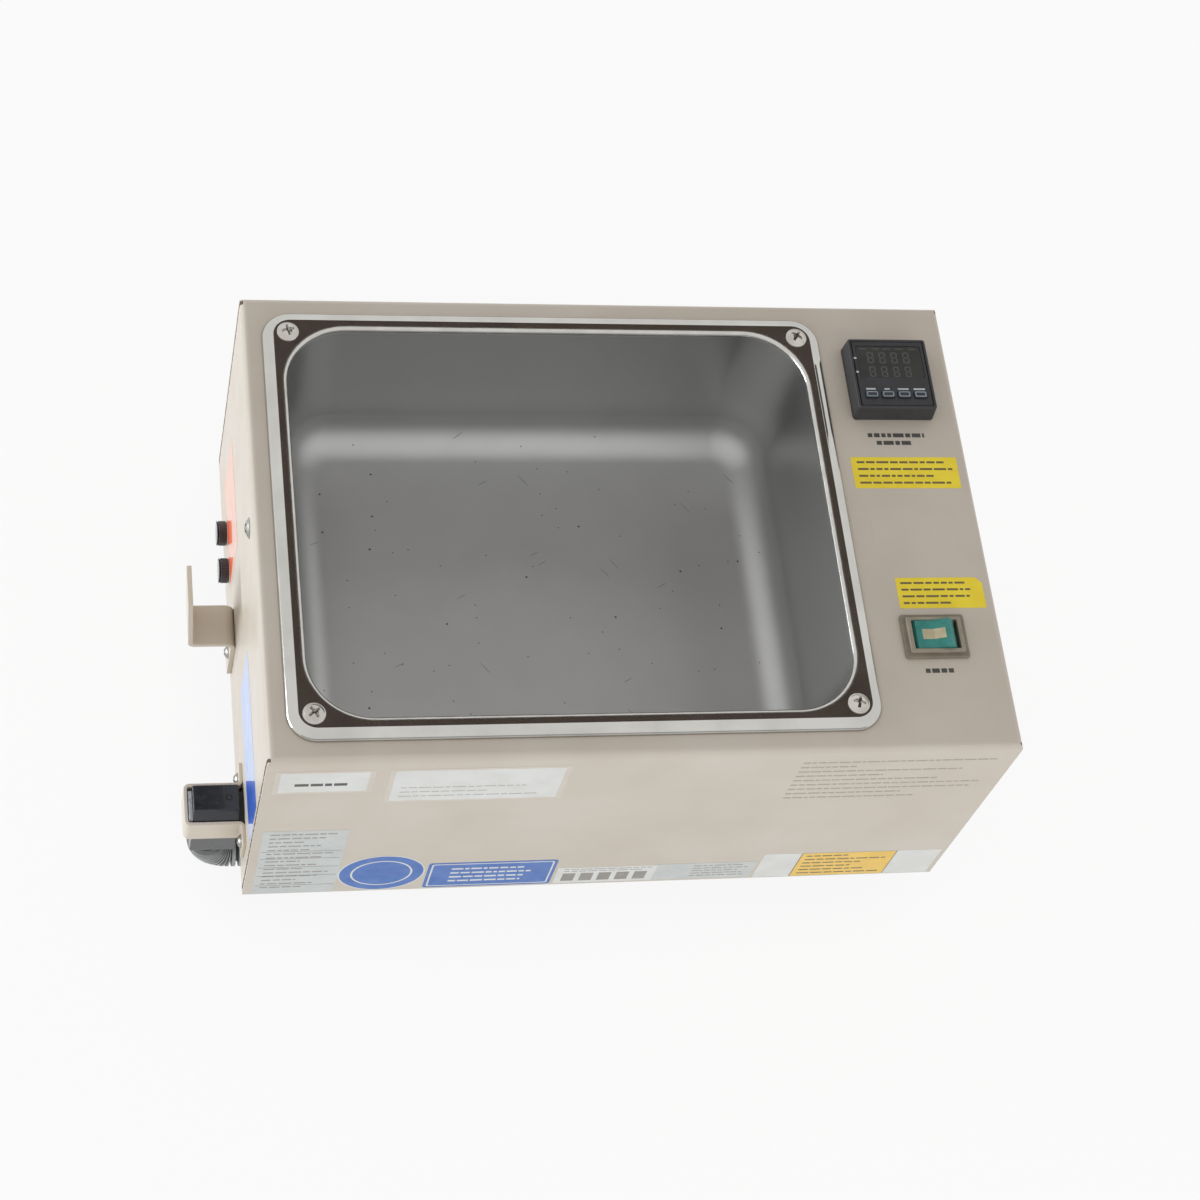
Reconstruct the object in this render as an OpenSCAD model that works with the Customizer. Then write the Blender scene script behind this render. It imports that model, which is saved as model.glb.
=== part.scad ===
// Bench warmer for surgical solutions: a folded steel case with a pressed steel basin let into its
// top, a panel temperature controller, a rocker switch, two panel fuses and a mains lead.
// Millimetres, Z up, front face toward -Y. The origin lies on the table under the middle of the
// outline of the case with its side brackets.

/* [Case] */
// Width of the case to the left of the basin rim
side_margin = 10.5; // [9:0.5:40]
// Width of the control panel, from the basin rim to the right wall
panel_w = 76.5; // [68:0.5:120]
// Depth of the case in front of the basin rim and behind it
end_margin = 11.5; // [9:0.5:40]
// Height of the basin floor above the case's bottom edge
floor_h = 81.5; // [73:0.5:110]
// Thickness of the painted sheet
sheet_t = 1.5; // [1:0.1:2]
// Outer radius of the bends along the top edges
bend_r = 4; // [3:0.5:6]
// Width of the open seams at the upright corners
seam_w = 0.8; // [0.5:0.1:1.5]
// Width of the inner flanges that the base is screwed to
flange_w = 40; // [38:1:46]
// Thickness of the base plate
base_t = 1.5; // [1:0.1:2.5]

/* [Feet] */
// Height of the rubber feet
foot_h = 33; // [33:1:45]
// Diameter of a foot where it meets the base
foot_d = 28; // [24:1:32]
// Distance of the feet from the left and right walls
foot_inset_x = 58; // [52:1:66]
// Distance of the feet from the front and rear walls
foot_inset_y = 30; // [28:1:32]

/* [Basin] */
// Width of the basin opening
basin_w = 294; // [240:1:360]
// Depth of the basin opening, front to rear
basin_d = 236; // [200:1:300]
// Corner radius of the basin opening
basin_r = 34; // [33:1:45]
// Depth of the basin below its rim
basin_depth = 98; // [80:1:115]
// Thickness of the basin sheet
basin_t = 1; // [0.8:0.1:1.2]
// Radius between the basin walls and its floor
cove_r = 22; // [15:1:23]
// Slope of the basin walls in degrees
basin_draft = 4; // [2:0.5:5]
// Radius of the bright lip round the opening
lip_r = 3; // [2:0.5:4]
// Width of the flat rim at the left and right of the opening
rim_side = 12.5; // [11:0.5:16]
// Width of the flat rim in front of the opening and behind it
rim_end = 12.5; // [11:0.5:18]
// Corner radius of the rim
rim_r = 16; // [10:1:20]
// Height of the rim above the case
rim_rise = 4.5; // [4:0.1:6]
// Distance of the rim screws from the edges of the rim
rim_screw_inset = 14.2; // [13:0.1:16]

/* [Controller] */
// Side of the square controller bezel
bezel_s = 48; // [46:1:50]
// Height of the bezel above the case
bezel_h = 12; // [8:0.5:14]
// Side of the controller's body below the panel
body_s = 44.8; // [42:0.1:45]
// Length of the controller's body below the panel
body_len = 70; // [50:1:80]
// Travel of a key
key_travel = 0.8; // [0.4:0.1:1]
// Distance of the controller and the switch from the right wall
panel_inset = 39.8; // [39:0.1:41]
// Distance of the controller's middle from the rear wall
controller_back = 54; // [50:1:60]

/* [Switch] */
// Width of the switch frame
switch_w = 36.5; // [36:0.5:38]
// Depth of the switch frame, front to rear
switch_d = 26.5; // [26:0.5:28]
// Length of the rocker
rocker_w = 25.7; // [24:0.1:26]
// Breadth of the rocker
rocker_d = 16.9; // [15:0.1:17.5]
// Tilt of the rocker to each side in degrees
rocker_tilt = 9; // [6:1:12]
// Distance of the switch's middle from the front wall
switch_front = 67; // [60:1:80]

/* [Left wall] */
// Width of the cord hook's strip
hook_w = 25.4; // [20:0.2:32]
// Reach of the cord hook's shelf
hook_reach = 27; // [22:1:30]
// Height of the hook's upright tip
hook_tip = 48; // [30:1:60]
// Height of the hook's shelf above the case's bottom edge
hook_z = 45; // [40:1:60]
// Thickness of the hook's strip
hook_t = 2.8; // [2:0.1:3.4]
// Thickness of the strap's strip
strip_t = 2; // [1.5:0.1:2.5]
// Reach of the strap round the mains connector
strap_reach = 33; // [32:1:36]
// Width of the strap, front to rear
strap_w = 25.4; // [24:0.1:28]
// Height of the strap's strip
strap_h = 19; // [15:1:22]
// Height of the strap's top edge above the case's bottom edge
strap_top = 41; // [39:1:45]
// Distance of the strap's middle from the front wall
strap_front = 38; // [36:1:42]
// Diameter of a fuse's cap
fuse_d = 14.6; // [14.2:0.2:17]
// Height of the fuses above the case's bottom edge
fuse_z = 27; // [22:1:46]
// Distance between the two fuses
fuse_pitch = 25; // [22:1:32]
// Distance of the fuses' middle from the rear wall
fuse_back = 79; // [70:1:92]

/* [Mains lead] */
// Diameter of the lead
cord_d = 7.6; // [7:0.1:8]
// Diameter of the ribs on the connector's boot
boot_d = 22.4; // [20:0.2:23]
// Radius of the boot's bend at its middle
boot_bend = 14.5; // [13.5:0.5:16]
// Turns in each layer of the put-away coil
coil_turns = 2.625; // [1.625:1:2.625]
// Radius of the coil's outermost turn
coil_r = 52; // [50:1:56]

/* [Hidden] */
$fn = 48;

// Clearances: a running fit, and a seat that is nearly touching
run_gap = 0.4;
seat_gap = 0.3;

// Frame of the case, which is built round the basin
rim_w = basin_w + 2 * rim_side;
rim_d = basin_d + 2 * rim_end;
case_w = side_margin + rim_w + panel_w;
case_d = rim_d + 2 * end_margin;
case_h = floor_h + basin_depth - rim_rise;
case_x = strap_reach / 2;
case_left = -case_w / 2;
case_right = case_w / 2;
case_front = -case_d / 2;
case_rear = case_d / 2;

// Basin places
basin_x = case_left + side_margin + rim_w / 2;
rim_z = case_h + rim_rise;
basin_floor = floor_h;
rim_edge_r = rim_rise - seat_gap;
well_gap = 2;
join = 0.6;
screw_px = rim_w / 2 - rim_screw_inset;
screw_py = rim_d / 2 - rim_screw_inset;
rim_screw_d = 5;
rim_head_d = 12;
rim_head_h = 3.2;
rim_nut_h = 4;
// Distance of the seal's edge inside the rim's turned-down edge
gasket_in = 2.4;

// Basin wall curve: lip, sloped wall and cove, in the plane of a section
lip_c = [basin_r + lip_r, rim_z - lip_r];
wall_top = lip_c + lip_r * [-cos(basin_draft), sin(basin_draft)];
cove_low = basin_floor + cove_r * (1 - sin(basin_draft));
cove_x = wall_top.x - (wall_top.y - cove_low) * tan(basin_draft) - cove_r * cos(basin_draft);
cove_c = [cove_x, basin_floor + cove_r];

// Heating parts under the basin
heater_t = 2;
heater_inset = 3;
heater_r = 8;
heater_w = basin_w - 2 * (basin_r - cove_x) - 2 * heater_inset;
heater_d = basin_d - 2 * (basin_r - cove_x) - 2 * heater_inset;
heater_z = basin_floor - basin_t - heater_t;
blanket_t = 9;
blanket_pad = 18;
blanket_drop = 6;
blanket_z = heater_z - blanket_pad;
sensor_x = 40;
thermostat_d = 16;
thermostat_h = 8;
probe_d = 12;
probe_h = 6;
probe_lead = 16;
probe_lead_d = 3;
tab_t = 0.8;
tab_w = 6.3;
tab_len = 7;
sensor_gap = 3;

// Base plate
base_r = 2;
vent_x = basin_x + 73;
vent_y = 40;
vent_pitch = 14;
vent_w = 5;
vent_len = 36;

// Feet
foot_x = case_w / 2 - foot_inset_x;
foot_y = case_d / 2 - foot_inset_y;
foot_hollow_d = 14;
foot_web = 9;
foot_screw_d = 4;
foot_nut_h = 3.2;

// Controller places
controller_x = case_right - panel_inset;
controller_y = case_rear - controller_back;
bezel_face = 2;
bezel_r = 2;
body_wall = 1.6;
body_r = 0.5;
clamp_wall = 3.5;
clamp_h = 10;
window_w = 39;
window_d = 21.5;
window_y = 7.8;
window_t = 1.2;
window_r = 1.5;
window_ledge = 3;
window_sink = 0.2;
key_w = 7.4;
key_d = 4.2;
key_r = 1;
key_lap = 0.7;
key_pitch = 9.6;
key_y = -14.4;
key_proud = 1;
key_skirt = 0.8;
board_t = 1.6;

// Switch places
switch_x = case_right - panel_inset;
switch_y = case_front + switch_front;
switch_flange_h = 2;
switch_frame_h = 4.2;
switch_step = 2.6;
switch_wall = 1.6;
switch_len = 22;
rocker_pin_d = 3;
rocker_drop = 3;
rocker_pivot = case_h - rocker_drop;
rocker_gap = 0.35;

// Left wall places
hook_y = 5.5;
hook_flange = 38;
hook_screw_drop = 21;
hook_screw_out = 7;
hook_splay = 3;
strap_y = case_front + strap_front;
strap_flange = 12;
screw_hole = 4.4;
wall_screw_d = 4;
wall_head_d = 8;
wall_head_h = 2.6;
wall_screw_len = 9;
side_screw_y = 7.5;
side_screw_drop = 22;
side_screw_z = case_h - side_screw_drop;
side_head_d = 11.6;
side_head_h = 2.6;
side_screw_len = 5;
fuse_y = case_rear - fuse_back;
fuse_collar_h = 0.6;
fuse_body_d = 12.2;
fuse_collar_d = fuse_body_d + 1.6;
fuse_body_len = 40;
fuse_tail_len = 6;
fuse_tail_d = 4;
fuse_floor = 2;
fuse_nut = 16;
fuse_nut_h = 4;
fuse_link_d = 6.3;
fuse_link_len = 32;
fuse_glass_d = 5.6;
fuse_end_len = 6.4;
fuse_cap_d = fuse_d;
fuse_cap_len = 4.3;
fuse_cap_grip = 3;

// Mains connector: a right-angle moulding that faces the wall, with its boot below
block_y = strap_w - 2 * strip_t - 2 * seat_gap;
block_over = 3;
block_top = strap_top + block_over;
block_low = 0;
inlet_flange = 2.5;
inlet_h = 30;
inlet_y = block_y;
inlet_z = 22;
inlet_len = 24;
nose_h = 23.6;
nose_y = 15.4;
nose_r = 1.7;
nose_len = 15;
tag_t = 2.4;
block_left = case_left - strap_reach + strip_t + seat_gap + tag_t;
boot_x = block_left + 10.5;
boot_root_d = boot_d - 6;
boot_neck = 6;
boot_ribs = 9;
boot_rib_angle = 5;
boot_tail_ribs = 4;
boot_tail_pitch = 4;
boot_end_x = boot_x + boot_bend + boot_tail_ribs * boot_tail_pitch;
boot_end_z = block_low - boot_neck - boot_bend;

// Mains lead: lying route from the boot, under the case to the coil behind it
coil_inset = 143;
coil_back = 60;
coil_x = case_left + coil_inset;
coil_y = case_rear + coil_back;
coil_space = 0.7;
coil_step = cord_d + coil_space;
coil_layers = 4;
coil_lift = 1.7;
coil_z = cord_d / 2 + coil_lift;
coil_height = coil_z + (coil_layers - 1) * coil_step;
coil_in = coil_r - coil_turns * coil_step;
coil_sides = 6;
coil_rings = 24;
plug_z = 13.5;
plug_w = 34;
plug_h = 26;
plug_len = 42;
plug_neck_len = 16;
plug_neck_d = 14;
cord_sides = 8;
cord_steps = 3;
coil_out = [coil_x - coil_r, coil_y, coil_z];
// Wide bends of the lead, which leaves the boot toward the right and the coil toward the front
lead_r = 40;
lead_step = 11.25;
lead_turns = 6;
lead_z = foot_h + boot_end_z;
lead_fall = 100;
function ease(u) = let (t = min(max(u, 0), 1)) t * t * (3 - 2 * t);
function lead_drop(a) = (lead_z - coil_z) * ease(lead_r * a * PI / 180 / lead_fall);
function lead_arc(a) = [
    boot_end_x + cord_d + lead_r * sin(a), strap_y + lead_r * (1 - cos(a)), lead_z - lead_drop(a)
];
lead_rest = 90 - lead_turns * lead_step;
lead_low = lead_arc(lead_turns * lead_step);
long_r = (coil_out.x - lead_low.x) / (1 - cos(lead_rest));
long_y = lead_low.y + long_r * sin(lead_rest);
function lead_along(part) = (lead_r * lead_turns * lead_step + long_r * lead_rest * part) * PI / 180;
function lead_long(part) = let (a = lead_rest * (1 - part)) [
    coil_out.x - long_r * (1 - cos(a)),
    long_y - long_r * sin(a),
    lead_z - (lead_z - coil_z) * ease(lead_along(part) / lead_fall)
];
cord_route = concat(
    [[boot_end_x, strap_y, lead_z], [boot_end_x + cord_d, strap_y, lead_z]],
    [for (i = [1:lead_turns]) lead_arc(i * lead_step)],
    [for (part = [0.06, 0.15, 0.29, 0.49, 0.74, 1]) lead_long(part)],
    [for (back = [6, 4, 2, 1]) [coil_out.x, coil_y - back * cord_d, coil_z]]
);
// The tail turns past square, runs on and turns back, so the plug lies clear of the case
tail_r = 36;
tail_over = 25;
tail_run = 25;
tail_steps = 10;
tail_start = [coil_x + coil_r, coil_y - cord_d, coil_height];
tail_hub = tail_start + [tail_r, -cord_d, 0];
tail_way = [cos(tail_over), sin(tail_over), 0];
tail_side = [sin(tail_over), -cos(tail_over), 0];
tail_first = tail_r * (90 + tail_over) * PI / 180;
tail_fall = tail_first + tail_run + tail_r * tail_over * PI / 180;
tail_far_hub = tail_hub + 2 * tail_r * tail_side + tail_run * tail_way;
plug_start = [tail_far_hub.x + cord_d, tail_far_hub.y + tail_r, plug_z];
function tail_z(s) = [0, 0, -(coil_height - plug_z) * ease(s / tail_fall)];
tail_route = concat(
    [tail_start, tail_start - [0, cord_d, 0]],
    [for (i = [1:tail_steps]) let (a = (90 + tail_over) * i / tail_steps)
        tail_hub - tail_r * [cos(a), sin(a), 0] + tail_z(tail_r * a * PI / 180)],
    [for (part = [1/3, 2/3, 1])
        tail_hub + tail_r * tail_side + part * tail_run * tail_way + tail_z(tail_first + part * tail_run)],
    [for (a = [tail_over / 2, 0])
        tail_far_hub + tail_r * [-sin(a), cos(a), 0] + tail_z(tail_fall - tail_r * a * PI / 180)],
    [plug_start]
);

// Places a piece by its distance from the middle of the case's bottom edge
module on_case(x = 0, y = 0, z = 0) {
    translate([case_x + x, y, foot_h + z]) children();
}

// Places a piece on the left wall: its X points up, its Y to the rear and its Z out of the wall
module on_left(y, z) {
    on_case(case_left, y, z) rotate([0, -90, 0]) children();
}

// Flat rectangle with round corners
module rounded_rect(w, d, r) {
    square([w - 2 * r, d], center = true);
    square([w, d - 2 * r], center = true);
    for (x = [-1, 1], y = [-1, 1]) {
        translate([x * (w / 2 - r), y * (d / 2 - r)]) circle(r);
    }
}

// Upright slab with round corners
module rounded_slab(w, d, h, r) {
    linear_extrude(h) rounded_rect(w, d, r);
}

// Carries a section round a rectangle with round corners; the section's X is measured from the
// middle of a corner, so that X = r lies on the rectangle
module ring_sweep(w, d, r) {
    for (x = [0, 1], y = [0, 1]) {
        mirror([x, 0, 0]) mirror([0, y, 0]) translate([w / 2 - r, d / 2 - r, 0])
            rotate_extrude(angle = 90) children();
    }
    for (side = [0, 1]) {
        mirror([side, 0, 0]) translate([w / 2 - r, 0, 0]) rotate([90, 0, 0])
            linear_extrude(d - 2 * r, center = true) children();
        mirror([0, side, 0]) translate([0, d / 2 - r, 0]) rotate([90, 0, 90])
            linear_extrude(w - 2 * r, center = true) children();
    }
}

// Points along an arc
function arc(c, r, from, to, n) = [
    for (i = [0:n]) c + r * [cos(from + (to - from) * i / n), sin(from + (to - from) * i / n)]
];

// Hexagon nut that stands on its lower face
module hex_nut(across, h, bore) {
    difference() {
        cylinder(d = across / cos(30), h = h, $fn = 6);
        translate([0, 0, -1]) cylinder(d = bore, h = h + 2);
    }
}

// Domed screw with a cross slot, its head above Z = 0 and its shank below
module dome_screw(head_d, head_h, shank_d, len) {
    dome_r = (head_h * head_h + head_d * head_d / 4) / (2 * head_h);
    slot = head_d / 7;
    difference() {
        intersection() {
            cylinder(d = head_d, h = head_h);
            translate([0, 0, head_h - dome_r]) sphere(dome_r);
        }
        for (a = [0, 90]) {
            rotate(a) translate([-head_d / 4, -slot / 2, head_h * 0.45]) cube([head_d / 2, slot, head_h]);
        }
    }
    translate([0, 0, -len]) cylinder(d = shank_d, h = len + 0.01);
}

// Block with a flat bottom and round upper edges along one direction
module arch(w, h, r) {
    translate([-w / 2, 0]) square([w, h - r]);
    translate([r - w / 2, 0]) square([w - 2 * r, h]);
    for (x = [-1, 1]) {
        translate([x * (w / 2 - r), h - r]) circle(r);
    }
}

// Solid form of the case, set in by a distance, with its top edges rounded both ways
module case_form(inset, drop) {
    w = case_w - 2 * inset;
    d = case_d - 2 * inset;
    h = case_h - inset + drop;
    r = bend_r - inset;
    translate([0, 0, -drop]) intersection() {
        rotate([90, 0, 0]) linear_extrude(d, center = true) arch(w, h, r);
        rotate([90, 0, 90]) linear_extrude(w, center = true) arch(d, h, r);
    }
}

module case_cover() {
    color("#b2a89b") on_case() difference() {
        union() {
            difference() {
                case_form(0, 0);
                case_form(sheet_t, 5);
                corner_seams();
            }
            for (side = [0, 1]) {
                mirror([0, side, 0]) translate([2 * sheet_t - case_w / 2, case_front + sheet_t / 2, base_t])
                    cube([case_w - 4 * sheet_t, flange_w, sheet_t]);
            }
        }
        top_cuts();
        left_wall_cuts();
        foot_holes();
    }
}

// Open seams beside the upright corners, each with a round relief at its top
module corner_seams() {
    seam_y = case_d / 2 - sheet_t - seam_w / 2;
    seam_top = case_h - bend_r - 3;
    for (x = [-1, 1], y = [-1, 1]) {
        translate([x * (case_w / 2 - sheet_t / 2), y * seam_y, seam_top / 2 - 1])
            cube([3 * sheet_t, seam_w, seam_top + 2], center = true);
        translate([x * (case_w / 2 - sheet_t / 2), y * seam_y, seam_top]) rotate([0, 90, 0])
            cylinder(d = 3 * seam_w, h = 3 * sheet_t, center = true);
    }
}

// Openings in the top: the basin, its screws, the controller and the switch
module top_cuts() {
    low = case_h - 2 * sheet_t;
    h = 3 * sheet_t;
    grow = 2 * (basin_t + well_gap);
    translate([basin_x, 0, low]) rounded_slab(basin_w + grow, basin_d + grow, h, basin_r + grow / 2);
    for (x = [-1, 1], y = [-1, 1]) {
        translate([basin_x + x * screw_px, y * screw_py, low])
            cylinder(d = rim_screw_d + 2 * seat_gap, h = h);
    }
    translate([controller_x, controller_y, low])
        rounded_slab(body_s + run_gap, body_s + run_gap, h, body_r);
    translate([switch_x, switch_y, low])
        rounded_slab(switch_body_w + run_gap, switch_body_d + run_gap, h, body_r);
}

// Openings in the left wall: the fuse holders, the mains inlet and the wall screws
module left_wall_cuts() {
    through = 3 * sheet_t;
    for (y = [-1, 1]) {
        translate([case_left - sheet_t, fuse_y + y * fuse_pitch / 2, fuse_z]) rotate([0, 90, 0])
            cylinder(d = fuse_body_d + run_gap, h = through);
        translate([case_left - sheet_t, strap_y + y * strap_screw_y, strap_mid]) rotate([0, 90, 0])
            cylinder(d = screw_hole, h = through);
        translate([case_left - sheet_t, hook_y + y * hook_screw_out, hook_screw_z]) rotate([0, 90, 0])
            cylinder(d = screw_hole, h = through);
    }
    translate([case_left - sheet_t, strap_y - (inlet_y - 2) / 2, inlet_z - (inlet_h - 2) / 2])
        cube([through, inlet_y - 2, inlet_h - 2]);
    translate([case_left - sheet_t, side_screw_y, side_screw_z]) rotate([0, 90, 0])
        cylinder(d = screw_hole, h = through);
}

module foot_holes() {
    for (x = [-1, 1], y = [-1, 1]) {
        translate([x * foot_x, y * foot_y, -1]) cylinder(d = foot_screw_d + 0.5, h = base_t + sheet_t + 2);
    }
}

module base_plate() {
    w = case_w - 2 * sheet_t - 2 * seat_gap;
    d = case_d - 2 * sheet_t - 2 * seat_gap;
    color("#8f8a82") on_case() difference() {
        rounded_slab(w, d, base_t, base_r);
        foot_holes();
        for (x = [-4:4], y = [-1, 1]) {
            translate([vent_x + x * vent_pitch, y * vent_y, -1])
                rounded_slab(vent_w, vent_len, base_t + 2, vent_w / 2 - 0.1);
        }
    }
}

module rubber_feet() {
    color("#2a2a2a") for (x = [-1, 1], y = [-1, 1]) {
        on_case(x * foot_x, y * foot_y, -foot_h) difference() {
            union() {
                translate([0, 0, 2]) cylinder(d1 = foot_d - 4, d2 = foot_d, h = foot_h - 2);
                cylinder(d1 = foot_d - 7, d2 = foot_d - 4, h = 2);
            }
            translate([0, 0, -1]) cylinder(d = foot_hollow_d, h = foot_h - foot_web + 1);
            cylinder(d = foot_screw_d + 0.5, h = foot_h + 1);
        }
    }
}

module foot_screws() {
    len = foot_web + base_t + sheet_t + foot_nut_h + 2;
    color("#b8b8b8") for (x = [-1, 1], y = [-1, 1]) {
        on_case(x * foot_x, y * foot_y, -foot_web) mirror([0, 0, 1]) dome_screw(9, 3, foot_screw_d, len);
    }
}

module foot_nuts() {
    color("#b8b8b8") for (x = [-1, 1], y = [-1, 1]) {
        on_case(x * foot_x, y * foot_y, base_t + sheet_t) hex_nut(7, foot_nut_h, foot_screw_d);
    }
}

// Half section of the bowl from the floor's edge up the wall and over the lip
module bowl_section() {
    inner_lip = lip_r - basin_t;
    polygon(concat(
        [[cove_c.x - join, basin_floor]],
        arc(cove_c, cove_r, -90, -basin_draft, 12),
        arc(lip_c, lip_r, 180 - basin_draft, 90, 8),
        [[lip_c.x + join, rim_z], [lip_c.x + join, rim_z - basin_t]],
        arc(lip_c, inner_lip, 90, 180 - basin_draft, 8),
        arc(cove_c, cove_r + basin_t, -basin_draft, -90, 12),
        [[cove_c.x - join, basin_floor - basin_t]]
    ));
}

// Half section of the rim's turned-down edge
module rim_edge_section() {
    translate([rim_r - rim_edge_r, rim_z - rim_edge_r]) {
        intersection() {
            difference() {
                circle(rim_edge_r);
                circle(rim_edge_r - basin_t);
            }
            square(rim_edge_r);
        }
        translate([-join, rim_edge_r - basin_t]) square([join, basin_t]);
    }
}

module rim_holes(h) {
    for (x = [-1, 1], y = [-1, 1]) {
        translate([x * screw_px, y * screw_py, case_h - 1]) cylinder(d = rim_screw_d + run_gap, h = h);
    }
}

module basin() {
    floor_in = 2 * (basin_r - cove_x);
    color("#8d8b87") on_case(basin_x) difference() {
        union() {
            ring_sweep(basin_w, basin_d, basin_r) bowl_section();
            translate([0, 0, basin_floor - basin_t])
                rounded_slab(basin_w - floor_in, basin_d - floor_in, basin_t, cove_x);
            translate([0, 0, rim_z - basin_t]) linear_extrude(basin_t) difference() {
                rounded_rect(rim_w - 2 * rim_edge_r, rim_d - 2 * rim_edge_r, rim_r - rim_edge_r);
                rounded_rect(basin_w + 2 * lip_r, basin_d + 2 * lip_r, basin_r + lip_r);
            }
            ring_sweep(rim_w, rim_d, rim_r) rim_edge_section();
        }
        rim_holes(rim_rise + 2);
    }
}

module basin_gasket() {
    edge = rim_edge_r + gasket_in;
    grow = 2 * (basin_t + well_gap);
    color("#3a3a3a") on_case(basin_x) difference() {
        translate([0, 0, case_h]) linear_extrude(rim_rise - basin_t) difference() {
            rounded_rect(rim_w - 2 * edge, rim_d - 2 * edge, rim_r - edge);
            rounded_rect(basin_w + grow, basin_d + grow, basin_r + grow / 2);
        }
        rim_holes(rim_rise + 2);
    }
}

module basin_screws() {
    len = rim_rise + sheet_t + rim_nut_h + 2;
    color("#9a9894") for (x = [-1, 1], y = [-1, 1]) {
        on_case(basin_x + x * screw_px, y * screw_py, rim_z)
            rotate(20 * x + 35 * y) dome_screw(rim_head_d, rim_head_h, rim_screw_d, len);
    }
}

module basin_nuts() {
    color("#b8b8b8") for (x = [-1, 1], y = [-1, 1]) {
        on_case(basin_x + x * screw_px, y * screw_py, case_h - sheet_t - rim_nut_h)
            hex_nut(8, rim_nut_h, rim_screw_d);
    }
}

module heater_mat() {
    color("#b5562c") on_case(basin_x, 0, heater_z) rounded_slab(heater_w, heater_d, heater_t, heater_r);
}

module insulation_blanket() {
    gap = basin_t + 2 * seat_gap;
    bowl_w = basin_w + 2 * gap;
    bowl_d = basin_d + 2 * gap;
    w = bowl_w + 2 * blanket_t;
    d = bowl_d + 2 * blanket_t;
    side_top = case_h - sheet_t - rim_nut_h - blanket_drop;
    color("#d9d3c2") on_case(basin_x) difference() {
        translate([0, 0, blanket_z]) rounded_slab(w, d, side_top - blanket_z, basin_r + blanket_t);
        translate([0, 0, heater_z]) rounded_slab(bowl_w, bowl_d, case_h, basin_r + gap);
        translate([-sensor_x, 0, blanket_z - 1])
            cylinder(d = thermostat_d + 2 * sensor_gap, h = blanket_pad + 2);
        translate([sensor_x, 0, blanket_z - 1]) cylinder(d = probe_d + 2 * sensor_gap, h = blanket_pad + 2);
    }
}

module high_limit_thermostat() {
    color("#c9c4b5") on_case(basin_x - sensor_x, 0, heater_z - thermostat_h) {
        cylinder(d = thermostat_d, h = thermostat_h);
        for (x = [-1, 1]) {
            translate([x * thermostat_d / 4 - tab_t / 2, -tab_w / 2, -tab_len])
                cube([tab_t, tab_w, tab_len + join]);
        }
    }
}

module temperature_probe() {
    color("#a9a9a9") on_case(basin_x + sensor_x, 0, heater_z - probe_h) {
        cylinder(d = probe_d, h = probe_h);
        translate([0, 0, -probe_lead]) cylinder(d = probe_lead_d, h = probe_lead + join);
    }
}

module solid_state_relay() {
    color("#2f2f33") on_case(relay_x, relay_y, base_t) difference() {
        rounded_slab(relay_w, relay_d, relay_h, relay_r);
        for (x = [-1, 1]) {
            translate([x * relay_screw_x, 0, -1]) cylinder(d = wall_screw_d + run_gap, h = relay_h + 2);
            translate([x * relay_screw_x, 0, relay_foot])
                cylinder(d = wall_head_d + 2 * run_gap, h = relay_h);
        }
    }
}

module relay_screws() {
    color("#b8b8b8") for (x = [-1, 1]) {
        on_case(relay_x + x * relay_screw_x, relay_y, base_t + relay_foot)
            dome_screw(wall_head_d, wall_head_h, wall_screw_d, relay_foot - seat_gap);
    }
}

module terminal_block() {
    ways = 6;
    w = ways * terminal_pitch;
    color("#e4e0d4") on_case(terminal_x, terminal_y, base_t) difference() {
        translate([-w / 2, -terminal_d / 2, 0]) cube([w, terminal_d, terminal_h]);
        for (i = [0:ways - 1], y = [-1, 1]) {
            translate([(i - (ways - 1) / 2) * terminal_pitch, y * terminal_row, terminal_h - terminal_well])
                cylinder(d = terminal_bore, h = terminal_h);
        }
    }
}

module earth_stud() {
    color("#c2a24e") on_case(earth_x, earth_y, base_t) {
        cylinder(d = stud_d, h = stud_len);
        for (z = [0, stud_nut_h + 1]) {
            translate([0, 0, z]) cylinder(d = stud_nut / cos(30), h = stud_nut_h, $fn = 6);
        }
    }
}

// Wires from the mains inlet past the terminals to the switch and the controller, tied as one loom
module wiring_loom() {
    color("#4a4a4a") sweep(smooth(loom_route, 3), loom_d, 8);
}

module controller_housing() {
    inner_s = body_s - 2 * body_wall;
    color("#2d2d30") on_case(controller_x, controller_y, case_h) difference() {
        union() {
            rounded_slab(bezel_s, bezel_s, bezel_h, bezel_r);
            translate([0, 0, -body_len]) rounded_slab(body_s, body_s, body_len + 1, body_r);
        }
        translate([0, 0, body_wall - body_len])
            rounded_slab(inner_s, inner_s, body_len + bezel_h - body_wall - bezel_face, body_r);
        translate([0, window_y, bezel_h - window_t]) rounded_slab(window_w, window_d, bezel_h, window_r);
        translate([0, window_y, 0])
            rounded_slab(window_w - 2 * window_ledge, window_d - 2 * window_ledge, bezel_h, window_r - 0.5);
        for (i = [0:3]) {
            translate([key_place(i), key_y, 0])
                rounded_slab(key_w + 2 * seat_gap, key_d + 2 * seat_gap, bezel_h + 1, key_r + 0.2);
        }
    }
}

module controller_window() {
    color("#121417") on_case(controller_x, controller_y + window_y, case_h + bezel_h - window_t)
        rounded_slab(window_w - seat_gap, window_d - seat_gap, window_t - window_sink, window_r - 0.1);
}

module controller_board() {
    side = body_s - 2 * body_wall - 2 * seat_gap;
    drop = bezel_face + key_skirt + key_travel + 2 * seat_gap;
    color("#2f6b3a") on_case(controller_x, controller_y, case_h + bezel_h - drop - board_t)
        rounded_slab(side, side, board_t, body_r);
}

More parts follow.
